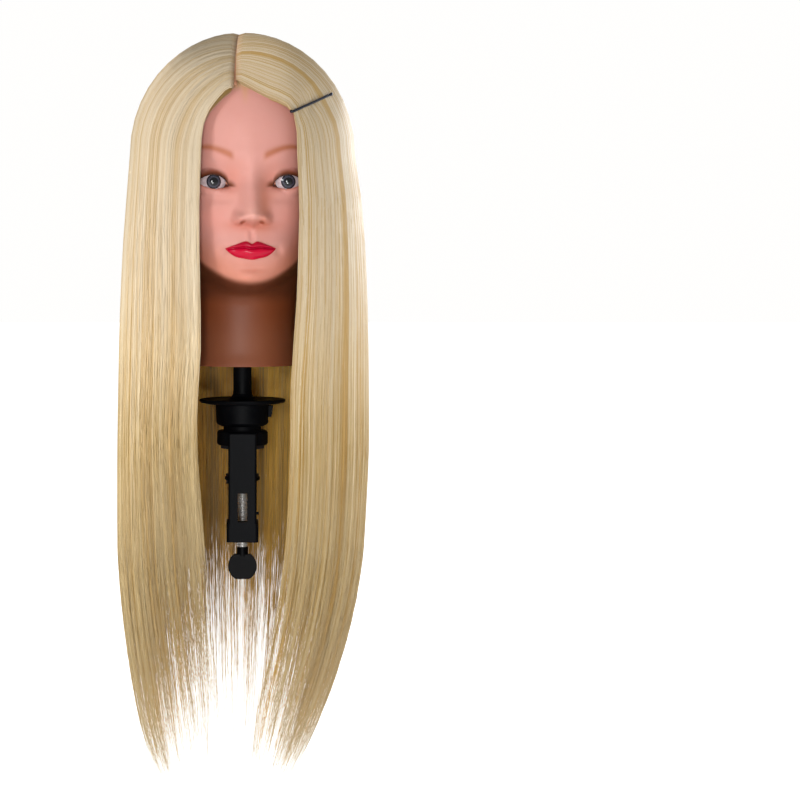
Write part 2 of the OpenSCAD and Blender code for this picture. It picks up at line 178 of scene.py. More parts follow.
class Maker:
    """Builds one node material."""

    def __init__(self, name, rough=0.5, metal=0.0, spec=0.5, coat=0.0, coat_rough=0.1):
        self.mat = bpy.data.materials.new(name)
        self.mat.use_nodes = True
        self.nodes = self.mat.node_tree.nodes
        self.links = self.mat.node_tree.links
        self.bsdf = self.nodes["Principled BSDF"]
        self.set(self.bsdf, Roughness=rough, Metallic=metal, Specular_IOR_Level=spec,
                 Coat_Weight=coat, Coat_Roughness=coat_rough)

    def set(self, n, **values):
        """Sets a node's sockets, which are called by their names with _ for a space."""
        for name, value in values.items():
            n.inputs[name.replace("_", " ")].default_value = value

    def node(self, kind, **values):
        n = self.nodes.new(kind)
        for name, value in values.items():
            if hasattr(n, name):
                setattr(n, name, value)
            else:
                self.set(n, **{name: value})
        return n

    def link(self, source, target):
        self.links.new(source, target)

    def put(self, value, socket):
        """Links an output to a socket, or sets the socket to a colour or a number."""
        if hasattr(value, "is_output"):
            self.link(value, socket)
        else:
            socket.default_value = (*value, 1) if isinstance(value, tuple) else value

    def split(self, vector):
        n = self.node("ShaderNodeSeparateXYZ")
        self.link(vector, n.inputs["Vector"])
        return n.outputs

    def join(self, x, y):
        n = self.node("ShaderNodeCombineXYZ")
        self.link(x, n.inputs["X"])
        self.link(y, n.inputs["Y"])
        return n.outputs["Vector"]

    def math(self, operation, a, b):
        n = self.node("ShaderNodeMath", operation=operation)
        self.put(a, n.inputs[0])
        self.put(b, n.inputs[1])
        return n.outputs["Value"]

    def coords(self, scale=(1, 1, 1), kind="Object"):
        source = self.node("ShaderNodeTexCoord")
        place = self.node("ShaderNodeMapping", Scale=scale)
        self.link(source.outputs[kind], place.inputs["Vector"])
        return place.outputs["Vector"]

    def noise(self, vector, scale, detail=3.0, rough=0.55):
        n = self.node("ShaderNodeTexNoise", Scale=scale, Detail=detail, Roughness=rough)
        self.link(vector, n.inputs["Vector"])
        return n.outputs["Fac"]

    def ramp(self, value, stops):
        n = self.node("ShaderNodeValToRGB")
        ends = n.color_ramp.elements
        while len(ends) < len(stops):
            ends.new(0.5)
        for end, (place, colour) in zip(ends, stops):
            end.position = place
            end.color = (*colour, 1)
        self.link(value, n.inputs["Fac"])
        return n.outputs["Color"]

    def mask(self, value, stops):
        """A grey ramp, from places and levels."""
        return self.ramp(value, [(place, (level, level, level)) for place, level in stops])

    def remap(self, value, low, high):
        n = self.node("ShaderNodeMapRange", To_Min=low, To_Max=high)
        self.link(value, n.inputs["Value"])
        return n.outputs["Result"]

    def mix(self, factor, a, b, mode="MIX"):
        n = self.node("ShaderNodeMix", data_type="RGBA", blend_type=mode)
        for socket, value in ((n.inputs[0], factor), (n.inputs[6], a), (n.inputs[7], b)):
            self.put(value, socket)
        return n.outputs[2]

    def colour(self, value):
        self.put(value, self.bsdf.inputs["Base Color"])

    def rough(self, value):
        self.link(value, self.bsdf.inputs["Roughness"])

    def bumps(self, height, strength, distance):
        n = self.node("ShaderNodeBump", Strength=strength, Distance=distance)
        self.link(height, n.inputs["Height"])
        self.link(n.outputs["Normal"], self.bsdf.inputs["Normal"])


def hair_material(name, stops, tip, root, rough=0.36, drift=1.0):
    """Hair strands: UV u is the strand's shade and v runs from root to tip."""
    m = Maker(name, rough=rough, spec=0.3)
    uv = m.split(m.coords(kind="UV"))
    shade = m.ramp(uv["X"], stops)
    fine = m.noise(m.coords((90, 14, 1), "UV"), 1.0, 2.0)
    varied = m.mix(0.12, shade, m.ramp(fine, [(0.3, stops[2][1]), (0.7, stops[-1][1])]))
    # painted shade down the length: darker over the dome, brightest at the face's height, darker and
    #     # more golden lower down where less light reaches; not on the deep strands, whose gold is painted
    #     light already
    low_shade = tuple(1 - drift * (1 - c) for c in (0.70, 0.62, 0.42))
    half = tuple((1 + c) / 2 + 0.06 for c in low_shade)
    height_shade = m.ramp(uv["Y"], [
        (0.0, (0.78, 0.76, 0.74)), (0.52, (0.78, 0.77, 0.76)), (0.60, (0.84, 0.83, 0.83)),
        (0.66, (0.90, 0.89, 0.88)), (0.75, half), (0.85, low_shade), (1.0, low_shade),
    ])
    outer = m.mask(uv["X"], [(0.0, 0), (0.08, 0), (0.20, 1), (1.0, 1)])
    varied = m.mix(outer, varied, m.mix(1.0, varied, height_shade, "MULTIPLY"))
    rooted = m.mix(m.mask(uv["Y"], [(0.0, 0.5), (0.045, 0), (1.0, 0)]), varied, root)
    ends = m.mask(uv["Y"], [(0.0, 0), (0.88, 0), (1.0, 0.6)])
    m.colour(m.mix(ends, rooted, m.mix(outer, stops[1][1], tip)))
    m.rough(m.remap(fine, rough - 0.05, rough + 0.08))
    return m.mat


def plastic_material(name, colour, rough=0.42, grain=900.0, depth=0.00006, coat=0.0):
    """Injection-moulded plastic: fine grain, slight tone and gloss changes."""
    m = Maker(name, rough=rough, spec=0.06, coat=coat)
    place = m.coords()
    wide = m.noise(place, 28.0, 4.0)
    grit = m.noise(place, grain, 2.0)
    darker = tuple(c * 0.7 for c in colour)
    lighter = tuple(min(1, c * 1.35 + 0.003) for c in colour)
    m.colour(m.ramp(wide, [(0.3, darker), (0.7, lighter)]))
    m.rough(m.remap(wide, rough - 0.08, rough + 0.12))
    m.bumps(grit, 0.25, depth)
    return m.mat


def steel_material(name, colour=(0.70, 0.69, 0.67), rough=0.32):
    """Drawn metal, brushed across its length."""
    m = Maker(name, rough=rough, metal=0.6)
    place = m.coords((60, 60, 900))
    brushed = m.noise(place, 1.0, 3.0)
    m.colour(m.ramp(brushed, [(0.3, tuple(c * 0.75 for c in colour)), (0.7, colour)]))
    m.rough(m.remap(brushed, rough - 0.08, rough + 0.14))
    m.bumps(brushed, 0.12, 0.00005)
    return m.mat


def rubber_material(name, colour, rough=0.75):
    """Matt rubber with a fine grit."""
    m = Maker(name, rough=rough, spec=0.35)
    place = m.coords()
    grit = m.noise(place, 1400.0, 3.0)
    m.colour(m.ramp(m.noise(place, 60.0), [(0.3, tuple(c * 0.8 for c in colour)), (0.7, colour)]))
    m.rough(m.remap(grit, rough - 0.1, rough + 0.1))
    m.bumps(grit, 0.35, 0.00008)
    return m.mat


def skin_material():
    """Soft satin vinyl; the painted colours, painted shade and a highlight among them, come from the mesh."""
    m = Maker("vinyl_skin", rough=0.46, spec=0.28)
    layer = m.node("ShaderNodeVertexColor", layer_name="paint")
    place = m.coords()
    mottle = m.noise(place, 45.0, 4.0)
    pores = m.noise(place, 1500.0, 2.0)
    tone = m.ramp(mottle, [(0.25, (0.95, 0.93, 0.92)), (0.75, (1.0, 1.0, 1.0))])
    m.colour(m.mix(1.0, layer.outputs["Color"], tone, "MULTIPLY"))
    gloss = m.node("ShaderNodeVertexColor", layer_name="gloss")
    m.rough(m.mask(gloss.outputs["Color"], [(0.0, 0.48), (1.0, 0.11)]))
    m.bumps(pores, 0.12, 0.00005)
    m.set(m.bsdf, Subsurface_Weight=0.12, Subsurface_Radius=(1.0, 0.45, 0.25), Subsurface_Scale=0.004)
    return m.mat


def foam_material():
    """Rigid foam with open cells."""
    m = Maker("core_foam", rough=0.9, spec=0.2)
    cells = m.node("ShaderNodeTexVoronoi", Scale=700.0)
    m.link(m.coords(), cells.inputs["Vector"])
    # darker down in each open cell, where the bump has its pits: painted shade
    m.colour(m.ramp(cells.outputs["Distance"], [(0.0, (0.6, 0.52, 0.36)), (0.6, (0.88, 0.8, 0.62))]))
    m.bumps(cells.outputs["Distance"], 0.5, 0.0002)
    return m.mat


SKIN = skin_material()
# Hair colours by shade; the lowest stops are the deep strands' saturated gold, painted light for light
# scattered among strands in their shade
HAIR_STOPS = [
    (0.00, srgb(244, 190, 62)),
    (0.18, srgb(214, 172, 92)),
    (0.34, srgb(208, 174, 112)),
    (0.60, srgb(234, 214, 180)),
    (0.86, srgb(246, 232, 206)),
    (1.00, srgb(251, 240, 216)),
]
HAIR = hair_material("blonde_hair", HAIR_STOPS, srgb(232, 212, 170), srgb(196, 152, 114))
# The twists' hair is the same hair made darker: painted shade of the twisted rope
TWIST_SHADED_STOPS = [(p, tuple(c * 0.80 for c in colour)) for p, colour in HAIR_STOPS]
TWIST_HAIR_SHADED = hair_material("twisted_hair_shaded", TWIST_SHADED_STOPS, srgb(226, 205, 158), srgb(190, 158, 104), 0.34, 0.5)
BLACK = plastic_material("black_plastic", srgb(4, 5, 8), rough=0.5)
KEY_BLACK = plastic_material("key_plastic", srgb(5, 5, 7), rough=0.44)
SOCKET_BLACK = plastic_material("socket_plastic", srgb(44, 44, 48), rough=0.5)
NYLON = plastic_material("washer_nylon", srgb(214, 208, 192), rough=0.45)
STEEL = steel_material("zinc_steel")
BRASS = steel_material("insert_brass", (0.72, 0.5, 0.2), 0.3)
RUBBER = rubber_material("pad_rubber_black", srgb(33, 33, 36))
BLUE = rubber_material("elastic_blue", srgb(30, 150, 210), 0.4)
PIN = plastic_material("pin_enamel", srgb(18, 21, 38), rough=0.22, grain=300.0, coat=0.6)
FOAM = foam_material()


# ---------------------------------------------------------------- camera, light, stage

VIEW_DISTANCE = 2600.0
VIEW_DOWN = math.radians(3.5)
VIEW_HEIGHT = 41.0
FRAME_SIDE = 682.0       # mm across the picture at the object
SHIFT = 0.197            # the object stands left of the middle of the picture


def make_camera():
    data = bpy.data.cameras.new("view")
    data.sensor_width = 36.0
    data.lens = 36.0 * VIEW_DISTANCE / FRAME_SIDE
    data.shift_x = SHIFT
    data.clip_start, data.clip_end = 0.05, 60.0
    camera = new_object("view", data)
    back = Vector((0, -math.cos(VIEW_DOWN), math.sin(VIEW_DOWN)))
    camera.location = (Vector((0, 0, VIEW_HEIGHT)) + back * VIEW_DISTANCE) * MM
    camera.rotation_euler = (-back).to_track_quat("-Z", "Y").to_euler()
    bpy.context.scene.camera = camera


# How brightly the white surround lights the object, and how brightly the camera sees it
WORLD_GLOW = (0.40, 1.0)
FLOOR_GLOW = (0.32, 0.80)
FLOOR_HALF = 12.0        # m
FLOOR_DROP = 0.03        # m below the lowest tips of the hair
# Name, place, size, power in W and what the light aims at
LIGHTS = [
    ("key", (-2.1, -1.75, 0.95), (0.7, 0.7), 23, (0, 0, 0.10)),
    ("front", (-0.28, -2.8, 0.25), (0.35, 0.7), 22.5, (0, 0, 0.02)),
    ("low_fill", (0.1, -2.2, -0.3), (0.3, 0.3), 12, (0, 0.06, -0.26)),
    ("rim", (1.6, 1.7, 1.4), (0.9, 1.2), 6, (0, 0, 0.06)),
    ("back_key", (2.0, 1.8, 0.6), (0.9, 1.0), 33, (0, 0, 0)),
]


def area_light(name, place, size, power, aim):
    data = bpy.data.lights.new(name, "AREA")
    data.shape = "RECTANGLE"
    data.size, data.size_y = size
    data.energy = power
    lamp = new_object(name, data)
    lamp.location = place
    lamp.rotation_euler = (Vector(aim) - Vector(place)).to_track_quat("-Z", "Y").to_euler()


def make_stage():
    """White studio: pale floor, key and front light, a low fill, and two lights for the far side."""
    world = bpy.data.worlds.new("studio")
    bpy.context.scene.world = world
    world.use_nodes = True
    nodes, links = world.node_tree.nodes, world.node_tree.links
    background = nodes["Background"]
    background.inputs["Color"].default_value = (1.0, 0.995, 0.985, 1)
    seen = nodes.new("ShaderNodeLightPath")
    level = nodes.new("ShaderNodeMapRange")
    level.inputs["To Min"].default_value, level.inputs["To Max"].default_value = WORLD_GLOW
    links.new(seen.outputs["Is Camera Ray"], level.inputs["Value"])
    links.new(level.outputs["Result"], background.inputs["Strength"])
    white = Maker("stage_white", rough=0.9, spec=0.0)
    white.colour((0.96, 0.96, 0.96))
    white.set(white.bsdf, Emission_Color=(1, 1, 1, 1))
    seen = white.node("ShaderNodeLightPath").outputs["Is Camera Ray"]
    white.link(white.remap(seen, *FLOOR_GLOW), white.bsdf.inputs["Emission Strength"])
    floor_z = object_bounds()[0].z - FLOOR_DROP
    corners = [(x * FLOOR_HALF, y * FLOOR_HALF, floor_z) for x, y in ((-1, -1), (1, -1), (1, 1), (-1, 1))]
    mesh = bpy.data.meshes.new("floor")
    mesh.from_pydata(corners, [], [(0, 1, 2, 3)])
    floor = new_object("floor", mesh)
    mesh.materials.append(white.mat)
    for light in LIGHTS:
        area_light(*light)
    view = bpy.context.scene.view_settings
    view.view_transform = "Standard"
    view.look = "None"


make_camera()
make_stage()


# ---------------------------------------------------------------- head

HEAD_Z = [71.5, 82, 104, 122, 131, 134.5, 138, 141.5, 146, 154, 172, 200, 229, 252, 275]
HEAD_A = [50, 47, 45, 46, 47, 48, 49, 50, 52, 56, 63, 68, 71, 74, 74]
HEAD_F = [48, 45, 44, 44, 47, 53, 65, 76, 81, 82.5, 85, 86.5, 86, 90, 90]
HEAD_B = [52, 50, 51, 55, 57, 59, 61, 64, 67, 72, 78, 83, 84, 84, 84]
SKIN_WALL, NECK_BORE = 3.5, 30.2
FOAM_GAP = 6.5           # from the skin's outside to the foam core
TEMPLE = 262.0           # height from which the skull closes
LIP_HALF = 20.6
# Eyeballs: middle, radius and iris radius, then where the eye openings start and how long they are
EYE_X, EYE_Y, EYE_Z = 31.1, -69.0, 225.6
EYE_R, IRIS_R = 12.5, 5.8
EYE_CORNER, EYE_LENGTH = 18.4, 25.4
LID_LINE = 221.6         # height of the eyes' inner corners
MOUTH_LINE = 171.4
# Dome of the hair over the head, and the parting's two ends in plan
DOME_Z, DOME_H = 250.0, 102.5
DOME_A, DOME_F, DOME_B = 95.5, 100.0, 96.0
PART_FRONT = np.array([-6.5, -83.5])
PART_BACK = np.array([-2.0, 14.0])
PART_HALF = 1.9
INNER_TOP = 336.0        # top ring of the skin's inner wall

head_a = curve_of(HEAD_Z, HEAD_A, 4.0)
head_f = curve_of(HEAD_Z, HEAD_F, 2.2)
head_b = curve_of(HEAD_Z, HEAD_B, 4.0)


def dome(z):
    """Closes the crown: 1 up to the temples and falling to 0 at the top as an arc does."""
    t = np.clip((np.asarray(z, float) - TEMPLE) / (CROWN - TEMPLE), 0, 1)
    return np.sqrt(np.clip(1 - t**2.1, 0, 1))


def hair_top(x, y, deep=0.0):
    """Height of the combed hair over the head, deep mm below its surface."""
    a, b = DOME_A - deep, np.where(y < 0, DOME_F, DOME_B) - deep
    return DOME_Z + (DOME_H - deep) * np.sqrt(np.clip(1 - (x / a) ** 2 - (y / b) ** 2, 0, None))


def lid_gap(x, z):
    """Signed distance in mm to the outline of the eye opening, below 0 inside it. x is 0 at the nose."""
    u = (np.abs(x) - EYE_CORNER) / EYE_LENGTH
    inside = np.clip(u, 0, 1)
    arch = np.sin(np.pi * inside**0.78) ** 0.75
    base = LID_LINE + 4.2 * inside
    upper = base + 7.9 * arch * (1 - 0.10 * inside)
    lower = base - 3.4 * np.sin(np.pi * inside**1.12) ** 0.8
    beyond = np.maximum(-u, u - 1) * EYE_LENGTH
    return np.where(beyond > 0, np.hypot(beyond, z - base), np.maximum(z - upper, lower - z))


def lip_shape(x, z):
    """Signed distance in mm to the lips' outline, below 0 inside, and the mouth's line, top and foot."""
    u = np.abs(x + 0.5) / 21.0
    inner = np.clip(1 - u, 0, 1)
    line = MOUTH_LINE - 0.4 * hill(x, 5.0) - 0.5 * u**2
    line = line + 0.4 * hill(np.abs(x) - 7, 4.0)
    top = line + 5.4 * np.clip(inner / 0.78, 0, 1) ** 0.85 - 1.5 * hill(x, 2.3)
    foot = line - 9.4 * np.clip(1 - u**2.6, 0, 1) ** 0.9
    gap = np.where(z > line, z - top, foot - z)
    gap = np.where(u > 1, np.maximum(gap, (u - 1) * LIP_HALF), gap)
    return gap, line, top, foot


# Soft forms of the face: height, then middle and half size sideways and upwards
FACE_FORMS = [
    (1.8, 22, 245, 20, 8), (-1.8, 62, 252, 14, 22),  # brow ridge and temples
    (-1.6, 15, 226, 7, 9), (3.4, 30.7, 231.5, 15, 5.0),  # inner corner and upper lid
    (2.6, 30.7, 217.5, 14, 4.6), (-0.9, 26, 211.5, 12, 3.4),  # lower lid and the fold under it
    (2.6, 37, 203, 17, 16), (-1.4, 45, 172, 14, 18), (1.8, 26, 170, 12, 12),  # cheeks
    (4.0, 0, 171, 25, 13),  # pillow round the mouth
    (-0.8, 0, 181.5, 2.2, 5.0), (0.45, 3.8, 181.0, 1.9, 5.2),  # philtrum
    (-2.2, 22.6, 169.4, 3.6, 4.2), (-2.6, 0, 155.4, 14, 3.4),  # mouth's corners, under the lip
    (2.8, 0, 145.5, 14, 7.5),  # chin
]


def face_relief(x, z, reach):
    """Forward relief of the face in mm over the plain head, at offsets x from its middle."""
    side = np.abs(x)
    out = sum(height * bump(side, z, *form) for height, *form in FACE_FORMS)
    # the hollow of each eye
    out -= 6.4 * bump(side, z, 27, 228, 17, 11.5) * (1 - 0.35 * bump(side, z, 46, 226, 10, 14))
    # nose: bridge, tip, wings, and the cut-away underneath
    n = z - 2.4
    under = smooth(186.2, 193.0, n + 0.010 * x**2)
    back_w = 7.4 + 2.2 * smooth(232, 198, n)
    keys = [184, 188, 192, 196, 202, 210, 222, 232, 242, 252, 264]
    ridge = np.interp(n, keys, [5.6, 8.2, 12.6, 14.8, 13.6, 9.8, 5.4, 2.9, 1.5, 0.5, 0.0])
    out += ridge * hill(side, back_w, 2.1) * np.where(n < 200, under, 1)
    out += 3.0 * bump(side, n, 0, 196.0, 7.0, 5.0) * under
    out += 8.6 * bump(side, n, 10.8, 193.0, 5.0, 4.9) * smooth(185.8, 190.4, n)
    out -= 0.8 * bump(side, n, 17.0, 195, 3.0, 6.0)
    out -= 5.0 * bump(side, n, 7.0, 189.9, 2.7, 1.9)
    out += 3.0 * bump(side, n, 0, 188.4, 2.3, 3.2)
    # lips
    gap, line, top, foot = lip_shape(x, z)
    width = np.clip(1 - (side / LIP_HALF) ** 2, 0, 1)
    upper = np.clip((z - line) / np.maximum(top - line, 0.4), 0, 1)
    lower = np.clip((line - z) / np.maximum(line - foot, 0.4), 0, 1)
    above = np.where(z >= line, np.sin(np.pi * np.clip(upper * 0.82 + 0.12, 0, 1)) ** 0.8, 0)
    below = np.where(z < line, np.sin(np.pi * np.clip(lower * 0.88 + 0.10, 0, 1)) ** 0.7, 0)
    inside = smooth(0.9, -0.5, gap)
    out += inside * (2.7 * above * width**0.5 + 3.8 * below * width**0.6)
    out -= 1.5 * hill(z - line, 0.75) * smooth(1.06, 0.86, side / LIP_HALF)
    return out * reach


def spaced(marks, steps):
    """Points between marks, each stretch with its own step."""
    parts = [np.arange(a, b, s) for a, b, s in zip(marks[:-1], marks[1:], steps)]
    return np.concatenate(parts + [[marks[-1]]])


def soft_min(a, b, k):
    """The lesser of a and b, blended over k mm where they meet."""
    h = np.clip(0.5 + 0.5 * (b - a) / k, 0, 1)
    return b + (a - b) * h - k * h * (1 - h)


def head_surface():
    """The outer skin as a grid: rows of heights by columns round the head from the back."""
    rows = spaced(
        [NECK_BOTTOM, 78, 124, 152, 160, 180, 186, 204, 215, 238, 262, 300, 332, CROWN - 0.4],
        [0.9, 2.8, 1.1, 1.3, 0.5, 0.85, 0.6, 0.95, 0.45, 1.1, 2.2, 2.4, 1.3],
    )
    half = spaced([0, 12, 47, 62, 180], [0.46, 0.44, 1.05, 4.5])   # degrees from the face's middle
    angles = np.radians(np.concatenate([-half[::-1][:-1], half[:-1]]))
    z, t = np.meshgrid(rows, angles, indexing="ij")
    a, b = head_a(z) * dome(z), head_b(z) * dome(z)
    x = a * np.sin(t)
    # the jaw's lower edge rises from the chin towards the sides
    rise = 13.0 * np.clip(np.abs(x) / 39, 0, 1.25) ** 2 * smooth(98, 130, z) * smooth(196, 160, z)
    f = head_f(z - rise) * dome(z)
    front = np.cos(t) > 0
    y = -np.where(front, f, b) * np.cos(t)
    # crisp eye outlines: points next to an outline move onto it
    front = y < -30
    for _ in range(2):
        gap = lid_gap(x, z)
        step = 0.05
        gx = (lid_gap(x + step, z) - gap) / step
        gz = (lid_gap(x, z + step) - gap) / step
        size = np.maximum(np.hypot(gx, gz), 0.3)
        near = front & (np.abs(gap) < 0.25)
        x = np.where(near, x - gap * gx / size**2, x)
        z = np.where(near, z - gap * gz / size**2, z)
    reach = smooth(-22, -48, y)
    relief = face_relief(x, z, reach)
    radial = np.maximum(np.hypot(x, y), 1)
    x = x + relief * 0.17 * x / radial
    y = y + relief * (0.35 * y / radial - 0.65)
    # the lids pass in front of the eyeball, and the skin stays behind it inside the outline
    gap = lid_gap(x, z)
    for side in (-1, 1):
        apart = np.hypot(x - side * EYE_X, z - EYE_Z)
        ball = EYE_Y - np.sqrt(np.clip((EYE_R + 1.0) ** 2 - apart**2, 0, None))
        ball = ball + 3.0 * np.clip(apart - EYE_R - 1.0, 0, None)
        close = front & (x * side > 0)
        y = np.where(close & (gap >= 0), soft_min(y, ball, 2.4), y)
        y = np.where(close & (gap < 0), y + 1.6, y)
    return x, y, z, gap


def head_colours(x, y, z, gap):
    """Airbrushed skin, brows, eye make-up and lips, painted shade and a painted highlight, and a map of where
    it is glossy.
    """
    side = np.abs(x)
    colours = np.broadcast_to(np.array(srgb(207, 147, 136)), x.shape + (3,)).copy()

    def lay(tone, amount):
        nonlocal colours
        colours = colours + (np.array(srgb(*tone)) - colours) * np.clip(amount, 0, 1)[..., None]

    # painted shade: darker and more orange where the head turns to its sides and back and on the lower cheeks
    # and jaw, dark brown under the jaw and down the neck, a little lighter at its foot
    lay((172, 96, 64), 0.9 * smooth(0, 37, y + 74 + 5 * np.tanh(x / 15)))
    jaw = 17.0 * np.clip(side / 39, 0, 1.25) ** 2
    lay((202, 126, 98), 0.65 * smooth(172, 146, z - jaw))
    lay((122, 62, 32), 0.97 * smooth(145.5, 135.5, z - jaw))
    lay((98, 50, 30), 0.95 * smooth(145, 139, z - jaw) * smooth(122, 136, z))
    lay((134, 78, 52), 0.8 * smooth(120, 90, z))
    # cheeks; on the nose a painted highlight at the tip, painted shade under it and down one side of its
    # bridge; its roots beside the eyes
    for tone, amount, across, form, before in (
        ((218, 140, 126), 0.35, side, (30, 196, 16, 14), 0),
        ((226, 168, 154), 0.6, side, (0, 201, 7.5, 6.5), -60),
        ((186, 102, 80), 0.75, side, (6, 189.5, 14, 4.4), -60),
        ((200, 120, 88), 0.55, x, (10, 208, 6, 20), -60),
        ((210, 132, 112), 0.45, side, (17, 226, 8, 14), -50),
    ):
        lay(tone, amount * bump(across, z, *form) * (y < before))
    front = (y < -45).astype(float)
    # scalp under the hair, a brownish line along the parting
    hairline = 303 - 0.0065 * x**2 - 0.10 * np.maximum(side - 40, 0) ** 1.5
    scalp = smooth(-3, 5, z - hairline)
    scalp = np.where(y > -35, np.maximum(scalp, smooth(150, 175, z) * smooth(-35, -10, y)), scalp)
    lay((206, 170, 124), scalp)
    lay((204, 152, 116), 0.85 * hill(x + 5, 2.6) * smooth(285, 305, z))
    # brows
    beside = np.abs(x + 2.6)
    t = np.clip((beside - 11.5) / 30.0, 0, 1)
    brow_z = 246.4 + 8.6 * np.sin(t * 1.75) ** 1.1 - 1.0 * t**3
    thick = 3.5 * (1 - 0.5 * t) + 0.05
    brow = hill(np.abs(z - brow_z), thick, 2.4)
    brow = brow * smooth(10.2, 15.5, beside) * smooth(46, 39, beside)
    lay((172, 98, 60), 0.8 * brow * front)
    # eye shadow, liner and the dark rim of the lids
    zone = front * (side > 11) * (side < 50)
    above = smooth(-1.0, 1.0, z - (LID_LINE + 0.15 * (side - 15)))
    apart = np.clip(gap, 0, None)
    lay((116, 54, 18), 0.97 * hill(apart, 5.3, 4) * zone * above)
    lay((44, 20, 12), 0.97 * hill(apart, 2.2) * zone * above)
    lay((150, 80, 56), 0.75 * hill(apart, 1.6) * zone * (1 - above))
    lay((88, 40, 28), zone * (gap < 0.0))
    # nostrils: painted shade inside their holes
    hole = bump(side, z - 0.30 * (8.0 - side), 8.0, 192.4, 2.9, 1.5) * front
    lay((140, 66, 38), 0.85 * smooth(0.25, 0.8, hole))
    # lips, with painted shade along the mouth's line and over the upper lip
    lip_gap, line, top, foot = lip_shape(x, z)
    lips = smooth(0.25, -0.25, lip_gap) * (y < -70)
    lay((190, 0, 46), lips)
    lay((140, 2, 34), lips * (0.5 * hill(z - line, 0.6) + 0.45 * smooth(0, 2, z - line)))
    gloss = lips * 0.95 + 0.2 * front * hill(apart, 1.0)
    return np.clip(colours, 0, 1), np.clip(gloss, 0, 1)


def turned(x, y):
    """Turns head-frame coordinates by the face's small turn."""
    c, s = math.cos(FACE_TURN), math.sin(FACE_TURN)
    return x * c - y * s, x * s + y * c


def head_ring(t, a, f, b, level):
    """A level ring round the head from its half width and its depths in front and behind."""
    return xyz(*turned(a * np.sin(t), -np.where(np.cos(t) > 0, f, b) * np.cos(t)), level)


def fan(ring, columns, tip):
    """Triangles from a ring of points, which starts at index ring, to the point tip."""
    return [(ring + c, ring + (c + 1) % columns, tip) for c in range(columns)]


def make_head():
    x, y, z, gap = head_surface()
    colours, gloss = head_colours(x, y, z, gap)
    rows, columns = x.shape
    outer = xyz(*turned(x, y), z).reshape(-1, 3)
    # the lower rim turns in, and a plain inner wall follows the outside a skin's thickness inside it
    wall, rim = SKIN_WALL, NECK_BORE
    levels = [NECK_BOTTOM, NECK_BOTTOM + 4, NECK_BOTTOM + 4.2, *np.linspace(80, INNER_TOP, 40)]
    t = np.arctan2(x[0], -y[0])
    inner = []
    for i, level in enumerate(levels):
        shrink = float(dome(level + wall))
        a, f, b = (float(c(min(level, TEMPLE))) * shrink - wall for c in (head_a, head_f, head_b))
        if level < TEMPLE:
            hollow = 16 * float(smooth(108, 126, level) * smooth(205, 180, level))
            f = min(f, float(head_f(level - hollow)) - wall)
        f = f - 3.0 * float(smooth(120, 150, level))
        if i < 2:
            a = f = b = rim
        inner.append(head_ring(t, a, f, b, level))
    inner = np.concatenate(inner)
    points = np.concatenate([outer, inner, [[0, 0, CROWN], [0, 0, INNER_TOP + 2]]])
    base = rows * columns
    last = len(points) - 2 - columns
    faces = [tuple(q) for q in grid_faces(rows, columns, closed=True)]
    faces += [tuple(q[::-1] + base) for q in grid_faces(len(levels), columns, closed=True)]
    faces += [(base + c, base + d, d, c) for c, d in ((c, (c + 1) % columns) for c in range(columns))]
    faces += fan(base - columns, columns, len(points) - 2)
    faces += [face[::-1] for face in fan(last, columns, len(points) - 1)]
    head = make_piece("head_skin_sculpted", points, faces, SKIN, "head")
    extra = len(points) - base
    plain = np.broadcast_to(np.array(srgb(190, 120, 92)), (extra, 3)).copy()
    paint(head, "paint", np.concatenate([colours.reshape(-1, 3), plain]))
    shine = np.concatenate([gloss.ravel(), np.zeros(extra)])
    paint(head, "gloss", np.repeat(shine[:, None], 3, axis=1))
    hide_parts("head_skin")
    return head


def make_foam():
    """The foam core that fills the skin, down to the collar round the neck socket."""
    steps = 72
    t = np.linspace(0, 2 * math.pi, steps, endpoint=False)
    levels = np.linspace(86, 334, 63)
    rings = []
    for level in levels:
        shrink = float(dome(level + 9))
        a, b = (float(c(level)) * shrink - FOAM_GAP for c in (head_a, head_b))
        a -= 8.0 * float(smooth(112, 128, level) * smooth(185, 160, level))
        f = float(head_f(level - 14 * float(smooth(110, 130, level)))) * shrink - 9.5
        f -= 9.0 * float(smooth(130, 150, level) * smooth(262, 244, level))
        a, f, b = (max(v, 3.0) for v in (a, f, b))
        rings.append(head_ring(t, a, f, b, level))
    points = np.concatenate(rings + [[[0, 0, levels[0]], [0, 0, levels[-1] + 1]]])
    faces = [tuple(q) for q in grid_faces(len(levels), steps, closed=True)]
    faces += [(d, c, tip) for c, d, tip in fan(0, steps, len(points) - 2)]
    faces += fan((len(levels) - 1) * steps, steps, len(points) - 1)
    foam = make_piece("foam_core_cells", points, faces, FOAM, "head")
    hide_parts("foam_core")


def make_parting():
    """The strip of scalp that shows along the parting, just under the roots."""
    steps, sides = 40, 13
    s = np.linspace(0, 1, steps)
    middle = PART_FRONT + (PART_BACK - PART_FRONT) * (0.035 + 0.965 * s[:, None])
    across = np.linspace(-1, 1, sides)
    x = middle[:, :1] + PART_HALF * across[None, :]
    y = np.repeat(middle[:, 1:], sides, axis=1)
    top = hair_top(x, y) - 2.3 - 2.0 * across[None, :] ** 2 - 2.5 * smooth(0.10, 0, s)[:, None]
    points = np.concatenate([xyz(x, y, top).reshape(-1, 3), xyz(x, y, top - 1.5).reshape(-1, 3)])
    quads = grid_faces(steps, sides)
    faces = [tuple(q) for q in quads] + [tuple(q[::-1] + steps * sides) for q in quads]
    rim = [r * sides for r in range(steps)] + [(steps - 1) * sides + c for c in range(1, sides)]
    rim += [r * sides + sides - 1 for r in range(steps - 2, -1, -1)] + list(range(sides - 2, 0, -1))
    faces += [(a, b, b + steps * sides, a + steps * sides) for a, b in zip(rim, rim[1:] + rim[:1])]
    strip = make_piece("scalp_parting", points, faces, SKIN, "head")
    paint(strip, "paint", srgb(184, 134, 104))
    paint(strip, "gloss", (0, 0, 0))


make_head()
make_foam()


# ---------------------------------------------------------------- eyes


